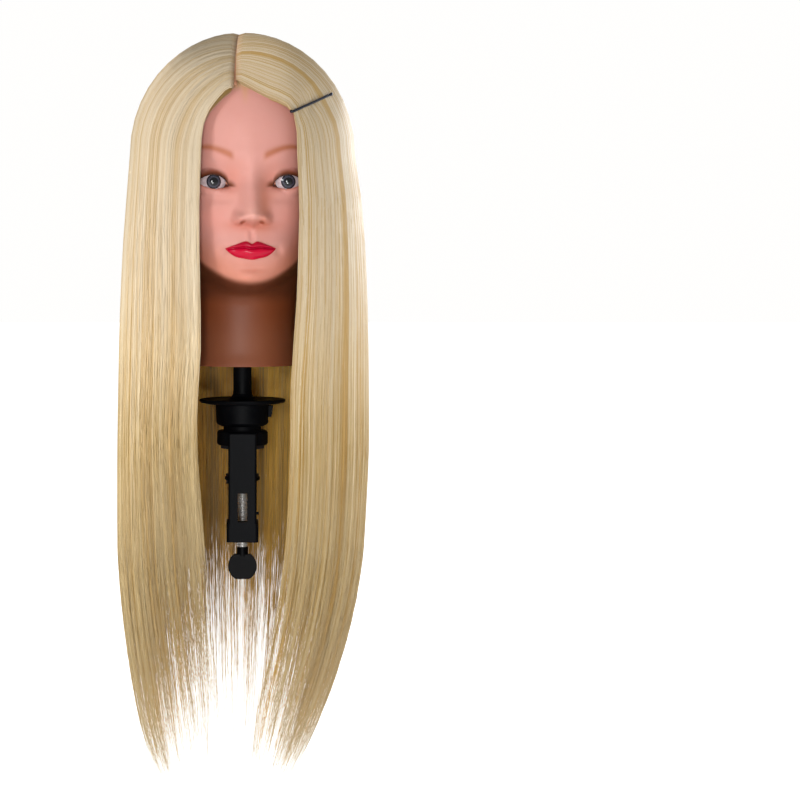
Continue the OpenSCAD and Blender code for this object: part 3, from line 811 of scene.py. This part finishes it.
def ball_points(rings, sides, radius, bulge):
    """A ball whose pole looks along -Y, with a cornea that stands out by bulge over the iris."""
    polar = np.linspace(0, math.pi, rings)
    around = np.linspace(0, 2 * math.pi, sides, endpoint=False)
    p, t = np.meshgrid(polar, around, indexing="ij")
    r = radius * np.sin(p)
    out = radius + bulge * hill(r, IRIS_R * 0.9, 4) * (p < 1.4)
    return xyz(out * np.sin(p) * np.cos(t), -out * np.cos(p), out * np.sin(p) * np.sin(t)).reshape(-1, 3)


def eye_material():
    """Inset acrylic eye: veined white, grey iris with fibres and a dark rim, black pupil."""
    m = Maker("eye_acrylic", rough=0.05, spec=0.45)
    place = m.split(m.node("ShaderNodeTexCoord").outputs["Object"])
    length = m.node("ShaderNodeVectorMath", operation="LENGTH")
    m.link(m.join(place["X"], place["Z"]), length.inputs[0])
    radius = m.math("MULTIPLY", length.outputs["Value"], 100.0)   # 0.1 for each mm
    fibre_place = m.node("ShaderNodeMapping", Scale=(9.0, 1.6, 1.0))
    m.link(m.join(m.math("ARCTAN2", place["Z"], place["X"]), radius), fibre_place.inputs["Vector"])
    fibres = m.noise(fibre_place.outputs["Vector"], 1.6, 4.0, 0.65)
    grey = m.ramp(fibres, [(0.25, srgb(22, 22, 30)), (0.5, srgb(52, 51, 62)), (0.8, srgb(116, 113, 128))])
    rim = m.mask(radius, [(0.0, 0), (0.44, 0), (0.56, 1), (1.0, 1)])
    pupil = m.mask(radius, [(0.0, 1), (0.33, 1), (0.37, 0), (1.0, 0)])
    disc = m.mask(radius, [(0.0, 1), (0.59, 1), (0.62, 0), (1.0, 0)])
    iris = m.mix(pupil, m.mix(rim, grey, srgb(24, 24, 30)), (0.004, 0.004, 0.005))
    veins = m.noise(m.coords(), 260.0, 4.0, 0.7)
    # the white is darkened to a grey pink: painted shade of the lids over it
    white = m.ramp(veins, [(0.35, srgb(176, 156, 158)), (0.6, srgb(198, 186, 190))])
    front = m.math("LESS_THAN", place["Y"], 0.0)
    m.colour(m.mix(m.math("MULTIPLY", disc, front), white, iris))
    return m.mat


def make_eyes():
    material = eye_material()
    rings, sides = 49, 64
    points = ball_points(rings, sides, EYE_R, bulge=0.5)
    quads = grid_faces(rings, sides, closed=True)
    for side, node in ((1, "eye_left"), (-1, "eye_right")):
        eye = make_piece(node + "_inset", points, quads[:, ::-1], material, "head")
        x, y = turned(side * EYE_X, EYE_Y)
        gaze = Matrix.Rotation(FACE_TURN - math.radians(1.5 * side), 4, "Z")
        gaze = gaze @ Matrix.Rotation(math.radians(0.5), 4, "X")
        eye.matrix_world = Matrix.Translation(Vector((x, y, EYE_Z + 0.4)) * MM) @ gaze
        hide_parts(node)
        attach(eye, "head")


make_eyes()


# ---------------------------------------------------------------- strands


def tubes(paths, radii, shades, sides, span):
    """Closed thin tubes as points, quads, the corners of the two end caps, and UVs.

    paths is (n, k, 3) in mm, radii (n, k), shades (n,) and span the UV v of root and tip.
    """
    n, k, _ = paths.shape
    ahead = heading(paths)
    u = np.cross(ahead, xyz(paths[..., 0], paths[..., 1] + 0.01, 0.0))
    u /= np.maximum(np.linalg.norm(u, axis=2, keepdims=True), 1e-9)
    v = np.cross(ahead, u)
    angle = (np.arange(sides) * 2 * math.pi / sides)[:, None]
    ring = np.cos(angle) * u[:, :, None, :] + np.sin(angle) * v[:, :, None, :]
    points = (paths[:, :, None, :] + radii[:, :, None, None] * ring).reshape(-1, 3)
    r, c = np.meshgrid(np.arange(k - 1), np.arange(sides), indexing="ij")
    a, b = r * sides + c, r * sides + (c + 1) % sides
    one = np.stack([a, a + sides, b + sides, b], axis=-1).reshape(-1, 4)
    start = np.arange(n)[:, None] * k * sides
    quads = (one[None] + start[:, :, None]).reshape(-1, 4)
    low = start + np.arange(sides)
    high = low + (k - 1) * sides
    uv = np.empty((n, k, sides, 2))
    uv[..., 0] = shades[:, None, None]
    uv[..., 1] = np.linspace(*span, k)[:, None]
    return points, quads, np.concatenate([low, high[:, ::-1]]), uv.reshape(-1, 2)


def strand_piece(name, paths, radii, shades, material, body, slot, sides=3, span=(0, 1)):
    """One mesh of many closed strands, coloured through its UV map."""
    points, quads, caps, uv = tubes(paths, radii, shades, sides, span)
    mesh = bpy.data.meshes.new(name)
    corners = np.concatenate([quads.ravel(), caps.ravel()])
    cap_starts = quads.size + np.arange(len(caps)) * sides
    fill_mesh(mesh, points, corners, np.concatenate([np.arange(len(quads)) * 4, cap_starts]))
    layer = mesh.uv_layers.new(name="OFBake")
    layer.data.foreach_set("uv", uv[corners].astype(np.float32).ravel())
    return add_piece(name, mesh, material, body)


# ---------------------------------------------------------------- hanging hair

# Outer envelope of the hair: height, half width on the head's right (-X) and left (+X), depth in
# front and depth behind
HANG_Z = [-300, -280, -252, -200, -148, -96, 0, 100, 169, 215, 250]
HANG_RIGHT = [60, 75, 86, 96, 103, 107.5, 107, 105, 102, 98.5, 94.5]
HANG_LEFT = [32, 44, 59, 80, 95, 104, 108.5, 107.5, 105, 101, 96.5]
HANG_F = [30, 36, 45, 57, 66, 73, 79, 86, 93, 98, 100]
HANG_B = [44, 54, 64, 76, 83, 87, 90, 93, 95, 96, 96]
# Face-side edges of the two front curtains: height, then x
EDGE_Z = [-300, -220, -160, -120, -88, -60, 4, 46, 79, 129, 170, 211, 268]
EDGE_RIGHT = [-26, -16, -24, -29, -31, -33.5, -38.5, -37.5, -34.5, -34.5, -35.5, -36, -34]
EDGE_LEFT = [4, 10, 24, 31, 35, 37.5, 39.5, 39.5, 41.5, 45.5, 46.5, 48, 47]
# Where the edge strands lie over the forehead, from the parting to the side of the face (x, y, z)
FRINGE_LEFT = [(-6, -85, 306), (6, -88, 300), (18, -90, 294), (34, -89.5, 288.5),
               (42, -88, 282), (45, -87.5, 266), (45.5, -87.5, 250)]
FRINGE_RIGHT = [(-7, -85, 306), (-13, -87.5, 303), (-21, -89.5, 294), (-27.5, -90.5, 285),
                (-31.5, -91, 275), (-33.5, -92, 262), (-34, -92.5, 250)]

hang_right = curve_of(HANG_Z, HANG_RIGHT, 14.0)
hang_left = curve_of(HANG_Z, HANG_LEFT, 14.0)
hang_f = curve_of(HANG_Z, HANG_F, 14.0)
hang_b = curve_of(HANG_Z, HANG_B, 14.0)
edge_right = curve_of(EDGE_Z, EDGE_RIGHT, 10.0)
edge_left = curve_of(EDGE_Z, EDGE_LEFT, 10.0)
CAP_STEPS, HANG_STEPS = 14, 11
CAP_BUNCH = 1.3          # how closely a strand's points sit near its root
BACK_START = math.radians(4)
SHARED_WAVE, OWN_WAVE = 58, 41


def hang_a(z):
    """Mean half width of the hair at a height."""
    return (hang_left(z) + hang_right(z)) / 2


def azimuth_at(z, where, group, depth=0.0):
    """Angle round the head of strands whose place in their group, from 0 to 1, is where."""
    if group == "back":
        return BACK_START + (math.pi - 2 * BACK_START) * where + 0 * z
    left = group == "left"
    a, edge = (hang_left(z), edge_left(z)) if left else (hang_right(z), edge_right(z))
    turn = np.arccos(np.clip(edge / (a - depth), -1, 1))  # from +X towards the face
    start, stop = (math.radians(-5), turn) if left else (math.radians(185), turn)
    return -(start + (stop - start) * where)


def strand_paths(where, group, inset, tip_z, root_depth=2.0):
    """Combed strands from the parting over the dome and down, as an (n, k, 3) array.

    where, inset (a function of height that gives depth below the surface) and tip_z are per strand.
    """
    n = len(where)
    top = azimuth_at(np.full(n, DOME_Z), where, group)
    ahead = np.abs((top - math.radians(90)) % (2 * math.pi) - math.pi)   # 0 at the face
    share = np.clip((ahead - math.radians(22)) / math.radians(120), 0, 1) ** 1.1
    side = np.sign(np.cos(top) + 1e-6)
    root = PART_FRONT + (PART_BACK - PART_FRONT) * share[:, None]
    root[:, 0] += side * 0.3
    q = np.linspace(0, 1, CAP_STEPS)[None, :] ** CAP_BUNCH
    w = np.sin(q * math.pi / 2)
    depth = inset(np.full((n, 1), DOME_Z))
    lift = smooth(-0.01, 0.05, q)
    deep = depth * lift + root_depth * (1 - lift)
    a = DOME_A - deep
    b = np.where(np.sin(top) < 0, DOME_F, DOME_B)[:, None] - deep
    x = root[:, :1] * (1 - w) + a * np.cos(top)[:, None] * w
    y = root[:, 1:] * (1 - w) + b * np.sin(top)[:, None] * w
    cap = xyz(x, y, hair_top(x, y, deep))
    if group != "back":
        # the strands by the face follow the fringe line, and the rest follow it less and less
        line = np.array(FRINGE_LEFT if group == "left" else FRINGE_RIGHT, float)
        reach = np.concatenate([[0], np.cumsum(np.linalg.norm(np.diff(line, axis=0), axis=1))])
        want = np.stack([np.interp(w[0] * reach[-1], reach, line[:, c]) for c in range(3)], axis=-1)
        edge = strand_edge[group]
        near = smooth(0.45, 1.0, where)[:, None, None] ** 1.5
        cap = cap + (want - edge)[None] * near
        cap[..., 1] += near[..., 0] * depth * 0.8
    s = np.linspace(0, 1, HANG_STEPS + 1)[None, 1:] ** 0.92
    zz = DOME_Z + (tip_z[:, None] - DOME_Z) * s
    d = inset(zz)
    az = azimuth_at(zz, where[:, None], group, d)
    wide = np.where(np.cos(az) > 0, hang_left(zz), hang_right(zz)) - d
    deep = np.where(np.sin(az) < 0, hang_f(zz), hang_b(zz)) - d
    hang = xyz(wide * np.cos(az), deep * np.sin(az), zz)
    if group != "back":
        settle = smooth(150, 250, zz)[..., None]
        a, b = DOME_A - depth[:, 0], DOME_F - depth[:, 0]
        gap = cap[:, -1] - xyz(a * np.cos(top), b * np.sin(top), DOME_Z)
        hang = hang + gap[:, None] * settle
    return np.concatenate([cap, hang], axis=1)


def bare_edge(group):
    """The dome part of the strand next to the face, before it is moved onto the fringe line."""
    w = np.sin((np.linspace(0, 1, CAP_STEPS) ** CAP_BUNCH) * math.pi / 2)
    turn = float(azimuth_at(np.array([DOME_Z]), np.array([1.0]), group)[0])
    x = PART_FRONT[0] * (1 - w) + DOME_A * math.cos(turn) * w
    y = PART_FRONT[1] * (1 - w) + DOME_F * math.sin(turn) * w
    return xyz(x, y, hair_top(x, y))


strand_edge = {group: bare_edge(group) for group in ("left", "right")}


# The bobby pin lies through the left front hair: its loop end, its direction and the way out of the hair
PIN_FOOT = np.array([40.0, -88.0, 283.0])
PIN_LENGTH = 60.0
PIN_TURN, PIN_RISE = math.radians(54), math.radians(16)
PIN_ALONG = np.array([math.cos(PIN_TURN) * math.cos(PIN_RISE), math.sin(PIN_TURN) * math.cos(PIN_RISE),
                      math.sin(PIN_RISE)])
PIN_OUT = np.array([math.sin(PIN_TURN), -math.cos(PIN_TURN), 0.0])
PIN_ACROSS = np.cross(PIN_ALONG, PIN_OUT)


def under_pin(paths):
    """Presses strands down where the pin's outer leg lies over them."""
    rel = paths - PIN_FOOT
    along, across, out = (rel @ v for v in (PIN_ALONG, PIN_ACROSS, PIN_OUT))
    near = smooth(-9, 2, along) * smooth(PIN_LENGTH + 9, PIN_LENGTH - 4, along)
    press = np.clip(out + 0.2, 0, 12) * near * hill(across, 7.0)
    return paths - press[..., None] * PIN_OUT * (np.abs(across) < 40)[..., None]


LOWEST_TIP, HIGHEST_TIP = -287, 60
FRONT_TOP, FRONT_FOOT = -92, -288
BACK_TOP, BACK_FOOT = -78, -284


def hair_layer(group, count, deep, thick, tips, clumps, size=(0.13, 0.22), gather_by=0.45, gold=0.0,
               shade=0.62, vary=0.07, reach=1.0, own_tips=0.4):
    """Strands spread evenly over a group, as their paths, radii and shades.

    deep is how deep they lie as shares of thick(z), tips(where) gives tip heights, clumps is how many
    locks they gather into, size their least and greatest radius, and gather_by how far they gather at
    their ends. The gold lean is how far they lean to the deep strands' gold, painted light that stands
    for light scattered among strands in their shade. shade and vary are the locks' mean shade and its
    spread, reach is how near they come to the group's last edge, and own_tips the share of strands
    that end apart from their lock.
    """
    where = reach * (np.arange(count) + rng.uniform(0, 1, count)) / count
    own_deep = rng.uniform(*deep, count)
    owner = ((where / reach + rng.normal(0, 0.30 / clumps, count)) * clumps).astype(int)
    owner = np.clip(owner, 0, clumps - 1)
    place = reach * (np.arange(clumps) + rng.uniform(0.2, 0.8, clumps)) / clumps
    clump_deep = rng.uniform(*deep, clumps)
    clump_tip = tips(place)
    broad, narrow = (0.04, 0.09) if group == "back" else (0.08, 0.06)
    streak = broad * np.sin(place * 26 + 1.3 + deep[1] * 5) + narrow * np.sin(place * 83 + deep[1] * 9)
    clump_shade = rng.normal(shade, vary, clumps) + streak
    alone = rng.uniform(0, 1, count) < own_tips
    tip = np.where(alone, tips(where), clump_tip[owner] + np.abs(rng.normal(0, 20, count)))
    tip = np.clip(tip + rng.uniform(-6, 8, count), LOWEST_TIP, HIGHEST_TIP)
    paths = strand_paths(where, group, lambda z: own_deep[:, None] * thick(z) + 0.3, tip)
    guide = strand_paths(place[owner], group, lambda z: clump_deep[owner][:, None] * thick(z) + 0.3, tip)
    z = paths[..., 2]
    gather = gather_by * smooth(0, -270, z)[..., None]
    paths = paths * (1 - gather) + guide * gather
    # soft waves that neighbours share, and a little of each strand's own
    phase = (place[owner] * 40)[:, None]
    fall = smooth(235, 60, z)
    own = rng.uniform(0, 2 * math.pi, count)[:, None]
    loose = 1 + 3.0 * smooth(-100, -280, z)
    own_sway = 0.25 + 0.45 * rng.uniform(0, 1, count)[:, None]
    sway = 0.45 * np.sin(z / SHARED_WAVE + phase) + own_sway * np.sin(z / OWN_WAVE + own) * loose
    az = np.arctan2(paths[..., 1], paths[..., 0])
    paths[..., 0] += fall * sway * -np.sin(az)
    paths[..., 1] += fall * sway * np.cos(az)
    if group == "left":
        paths = under_pin(paths)
    s = np.linspace(0, 1, paths.shape[1])[None, :]
    taper = (1 - 0.75 * smooth(0.80, 1.0, s)) * (0.6 + 0.4 * smooth(0, 0.06, s))
    radii = rng.uniform(*size, count)[:, None] * taper
    shades = clump_shade[owner] + rng.normal(0, 0.11, count) - gold
    return paths, radii, np.clip(shades, 0.02 if gold > 0.2 else 0.24, 0.98)


def front_tips(where):
    """Most front strands end early; the lock beside the face's edge is the longest and densest."""
    power = 4.1 - 1.8 * hill(where - 0.45, 0.22) + 0.8 * smooth(0.75, 1, where)
    return FRONT_TOP - (FRONT_TOP - FRONT_FOOT) * rng.uniform(0, 1, len(where)) ** power


def back_tips(where):
    """The middle of the back thins out early and its sides hang dense and long."""
    middle = 1 - smooth(0.12, 0.34, np.abs(where - 0.5))
    top = BACK_TOP - 10 * middle
    return top - (top - BACK_FOOT) * rng.uniform(0, 1, len(where)) ** (1.6 + 2.6 * middle)


def add_hair(name, node, layers, most=1350):
    """Splits strands into pieces small enough to keep their full detail."""
    paths, radii, shades = (np.concatenate([layer[i] for layer in layers]) for i in range(3))
    order = np.argsort(np.arctan2(paths[:, CAP_STEPS, 1], paths[:, CAP_STEPS, 0]))
    for i, chosen in enumerate(np.array_split(order, math.ceil(len(order) / most))):
        strands = paths[chosen], radii[chosen], shades[chosen]
        piece = strand_piece(f"{name}_{i + 1}", *strands, HAIR, "head", "hair")
        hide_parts(node)


# Thickness of the hair by height, in front and behind
THICK_Z = [-290, -150, 0, 120, 200, 250, 300]
THICK_FRONT = [7, 14, 18, 15, 9, 6, 4.6]
THICK_BACK = [12, 18, 18, 13, 8.5, 6.5, 4.8]
# The layers of each group from the outside in: number of strands, depths, number of locks, radii,
# and what else hair_layer() takes
# the deeper layers lean to the deep strands' painted gold, which stands for light scattered in their shade
FRONT_LAYERS = [
    (3800, (0.0, 0.10), 90, (0.13, 0.22), {}),
    (1500, (0.10, 0.75), 60, (0.18, 0.28), {"gold": 0.12, "reach": 0.97}),
    (900, (0.75, 1.0), 40, (0.22, 0.32), {"gold": 0.56, "reach": 0.92}),
]
BACK_LAYERS = [
    (7200, (0.0, 0.09), 190, (0.13, 0.22), {"gather_by": 0.22, "shade": 0.48, "vary": 0.13, "own_tips": 0.8}),
    (2800, (0.09, 0.70), 160, (0.14, 0.24), {"gather_by": 0.12, "gold": 0.30, "own_tips": 0.9}),
    (2300, (0.70, 1.0), 160, (0.14, 0.24), {"gather_by": 0.08, "gold": 0.56, "own_tips": 0.95}),
]
# Mean shade of the outer front locks and its spread; the head's left curtain is set darker as painted shade
# of that side
FRONT_SHADES = {"left": (0.54, 0.17), "right": (0.62, 0.08)}


def make_hair():
    for group, (shade, vary) in FRONT_SHADES.items():
        outer = {"shade": shade, "vary": vary}
        thick = curve_of(THICK_Z, THICK_FRONT)
        layers = [hair_layer(group, count, deep, thick, front_tips, clumps, size, **(rest or outer))
                  for count, deep, clumps, size, rest in FRONT_LAYERS]
        add_hair(f"front_hair_{group}", f"hair_front_{group}", layers)
    thick = curve_of(THICK_Z, THICK_BACK)
    add_hair("back_hair", "hair_back", [
        hair_layer("back", count, deep, thick, back_tips, clumps, size, **rest)
        for count, deep, clumps, size, rest in BACK_LAYERS
    ])


make_parting()
make_hair()


# ---------------------------------------------------------------- twists, tail, elastic, pin

TWIST_Z = [70, 78, 90, 112, 132, 155, 189, 221, 256]
TWIST_X = [3.2, 10, 18, 38, 59, 77, 90.5, 92.5, 89.5]
STRAND_R = 3.2           # of each of the two strands that make a twist
PITCH = 42.0
# Where the twists and the tail lie on the hair's colours and their painted shade down the length, from 0 at
# the root to 1 at the tips
TWIST_SPAN = (0.72, 0.57)
TAIL_SPAN = (0.70, 0.86)


def twist_line(s):
    """Middle line of the head's left twist, from the elastic up to behind the ear."""
    z = TWIST_Z[0] + (TWIST_Z[-1] - TWIST_Z[0]) * s
    x = curve_of(TWIST_Z, TWIST_X, 3.0)(z)
    a = hang_a(z) + 2 * STRAND_R - 2.4
    b = hang_b(z) + 2 * STRAND_R - 0.4
    return xyz(x, b * np.sqrt(np.clip(1 - (x / a) ** 2, 0.02, 1)), z)


def make_twists():
    steps, count, outermost = 90, 120, 70
    s = np.linspace(0, 1, steps)
    # the top end goes under the hair
    line = twist_line(s) * (1 - smooth(0.84, 1, s)[:, None] * np.array([0.10, 0.10, 0]))
    ahead = heading(line)
    outward = line * np.array([1, 1, 0])
    u = np.cross(ahead, outward)
    u /= np.linalg.norm(u, axis=1, keepdims=True)
    v = np.cross(u, ahead)
    arc = np.concatenate([[0], np.cumsum(np.linalg.norm(np.diff(line, axis=0), axis=1))])
    taper = np.interp(s, [0, 0.12, 0.86, 1], [0.42, 1, 1, 0.3])
    for side, label in ((1, "left"), (-1, "right")):
        for phase, which in ((0.0, "inner"), (math.pi, "outer")):
            turn = phase + 2 * math.pi * arc / PITCH
            away = np.cos(turn)[:, None] * v + np.sin(turn)[:, None] * u
            middle = line + (STRAND_R * taper * 1.02)[:, None] * away
            place = rng.uniform(0, 2 * math.pi, count)
            deep = np.sqrt(rng.uniform(0.35, 1.0, count))
            deep[:outermost] = rng.uniform(0.9, 1.0, outermost)
            spin = place[:, None] + turn[None, :] * 0.8 + rng.normal(0, 0.15, count)[:, None] * s[None, :]
            r = (STRAND_R * taper)[None, :] * deep[:, None] * 0.97
            offset = r[..., None] * (np.cos(spin)[..., None] * v[None] + np.sin(spin)[..., None] * u[None])
            paths = middle[None] + offset
            paths[..., 0] *= side
            radii = np.full((count, steps), 0.30)
            shades = np.clip(rng.normal(0.45, 0.2, count), 0.02, 0.98)
            core = middle[None] * np.array([side, 1, 1])
            core_r = (STRAND_R * taper)[None] * 0.86
            node = f"twist_{label}_{which}"
            piece = strand_piece(node + "_hair", paths, radii, shades, TWIST_HAIR_SHADED, "head", "hair",
                                 span=TWIST_SPAN)
            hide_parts(node)
            strand_piece(node + "_core", core, core_r, np.array([0.25]), TWIST_HAIR_SHADED, "head", "hair",
                         sides=12, span=TWIST_SPAN)


def make_tail():
    """Hair that leaves the elastic as a narrow bundle and spreads into the back hair."""
    count, steps = 420, 26
    s = np.linspace(0, 1, steps)
    tip = rng.uniform(-70, 6, count)
    angle = rng.uniform(0, 2 * math.pi, count)
    deep = np.sqrt(rng.uniform(0, 1, count))
    band = BAND[2]
    top = band + 9
    z = top + (tip[:, None] - top) * s[None, :]
    wide = np.interp(-z, [-top, -band - 3, -band, -48, -35, -10, 20, 60],
                     [4.2, 2.5, 2.3, 4.4, 8.0, 10.5, 11.5, 12.0])
    thick = np.interp(-z, [-band, -48, -35, -10, 20, 60], [2.3, 3.2, 3.3, 2.8, 2.0, 1.4])
    surface = hang_b(z) + 0.6
    y = np.where(z > 55, BAND[1], np.minimum(surface + thick + 0.8, BAND[1]))
    y = y * smooth(40, 60, z) + (surface + thick * 0.8) * (1 - smooth(40, 60, z))
    across, out = (deep * np.cos(angle))[:, None], (deep * np.sin(angle))[:, None]
    paths = xyz(wide * across, y + thick * out, z)
    radii = np.full((count, steps), 0.24) * (1 - 0.8 * smooth(0.75, 1, s))[None, :]
    shades = np.clip(rng.normal(0.62, 0.18, count), 0.24, 0.98)
    piece = strand_piece("tail_hair", paths, radii, shades, HAIR, "head", "hair", span=TAIL_SPAN)
    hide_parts("hair_tail")


def make_pin():
    """Flat wire bent into a clip: a smooth outer leg, a loop, a crimped inner leg, a bead on each end."""
    steps, sides = 120, 12
    t = np.linspace(0, 1, steps)
    leg = 1.45
    out_x = np.linspace(PIN_LENGTH, leg, 54)
    bend = np.linspace(math.pi / 2, 3 * math.pi / 2, 14)[1:-1]
    in_x = np.linspace(leg, PIN_LENGTH - 2.0, 54)
    x = np.concatenate([out_x, leg + leg * np.cos(bend), in_x])
    outer = leg + 0.5 * np.sin(np.clip((out_x - leg) / PIN_LENGTH, 0, 1) * math.pi)
    outer = outer + 0.5 * smooth(52, 60, out_x)
    inner = -leg + 0.55 * np.sin(in_x * 2 * math.pi / 9.0) * smooth(10, 16, in_x) * smooth(52, 46, in_x)
    h = np.concatenate([outer, leg * np.sin(bend), inner])
    reach = np.linspace(0, 1, len(x))
    x, h = np.interp(t, reach, x), np.interp(t, reach, h)
    line = PIN_FOOT + x[:, None] * PIN_ALONG + h[:, None] * PIN_OUT
    normal = np.cross(heading(line), PIN_ACROSS)
    angle = np.linspace(0, 2 * math.pi, sides, endpoint=False)
    end = np.minimum(t, 1 - t) * steps
    bead = 1 + 0.35 * hill(end - 2.0, 1.6)
    close = np.sqrt(np.clip(1 - (1 - np.clip(end / 1.5, 0.02, 1)) ** 2, 0.02, 1))
    wide, flat = 1.15 * bead * close, 0.55 * (1 + 0.6 * (bead - 1)) * close
    ring = (wide[:, None, None] * np.cos(angle)[None, :, None] * PIN_ACROSS
            + flat[:, None, None] * np.sin(angle)[None, :, None] * normal[:, None, :])
    points = (line[:, None, :] + ring).reshape(-1, 3)
    faces = [tuple(q) for q in grid_faces(steps, sides, closed=True)]
    faces += [tuple(range(sides))[::-1], tuple(range((steps - 1) * sides, steps * sides))]
    pin = make_piece("bobby_pin_wire", points, faces, PIN, "pin")
    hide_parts("bobby_pin")


make_twists()
make_tail()
make_pin()


# ---------------------------------------------------------------- clamp


def threaded_screw():
    """Clamp screw with a real helical thread, a plain tip and a plain lower journal."""
    low, high = (v.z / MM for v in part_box("clamp_screw"))
    journal, crest, root, pitch = 3.2, 4.7, 4.05, 2.0
    thread_low, thread_high = -84.5, high - 4.0
    sides, per_turn = 48, 12
    rows = int((thread_high - thread_low) / pitch * per_turn)
    z = np.linspace(thread_low, thread_high, rows)
    t = np.linspace(0, 2 * math.pi, sides, endpoint=False)
    zz, tt = np.meshgrid(z, t, indexing="ij")
    wave = np.abs(((zz / pitch - tt / (2 * math.pi)) % 1.0) * 2 - 1)
    r = root + (crest - root) * np.clip(wave * 1.5 - 0.25, 0, 1)
    ends = smooth(0, 1.2, zz - thread_low) * smooth(0, 1.2, thread_high - zz)
    r = root + (r - root) * ends
    body = xyz(r * np.cos(tt), r * np.sin(tt), zz)
    plain = [(low, 0.01), (low, journal - 0.3), (low + 0.3, journal), (thread_low, journal),
             (thread_low, root)]
    tip = [(thread_high, root), (thread_high, journal), (high - 0.5, journal), (high, journal - 0.5),
           (high, 0.01)]

    def ring(level, radius):
        return xyz(radius * np.cos(t), radius * np.sin(t), level)

    rings = [ring(*p) for p in plain] + list(body) + [ring(*p) for p in tip]
    faces = grid_faces(len(rings), sides, closed=True)
    screw = make_piece("clamp_screw_threaded", np.concatenate(rings), faces, STEEL, "screw")
    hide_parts("clamp_screw")


CAD_LOOKS = {
    BLACK: ["stake_post", "swivel_cup", "brake_lever", "clamp_frame", "pressure_pad"],
    KEY_BLACK: ["thumb_key"],
    SOCKET_BLACK: ["neck_socket"],
    STEEL: ["pivot_bolt", "pivot_washer", "lever_pin", "screw_nut", "key_pin"],
    BRASS: ["post_insert"],
    NYLON: ["friction_washer"],
    RUBBER: ["jaw_pad", "pad_rubber"],
    BLUE: ["elastic_band"],
}


def dress_cad():
    """Gives the CAD parts that stay visible their materials."""
    for material, nodes in CAD_LOOKS.items():
        for name in nodes:
            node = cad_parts[name]
            for place in range(max(1, len(node.material_slots))):
                if not node.material_slots:
                    node.data.materials.append(material)
                node.material_slots[place].link = "OBJECT"
                node.material_slots[place].material = material


threaded_screw()
dress_cad()
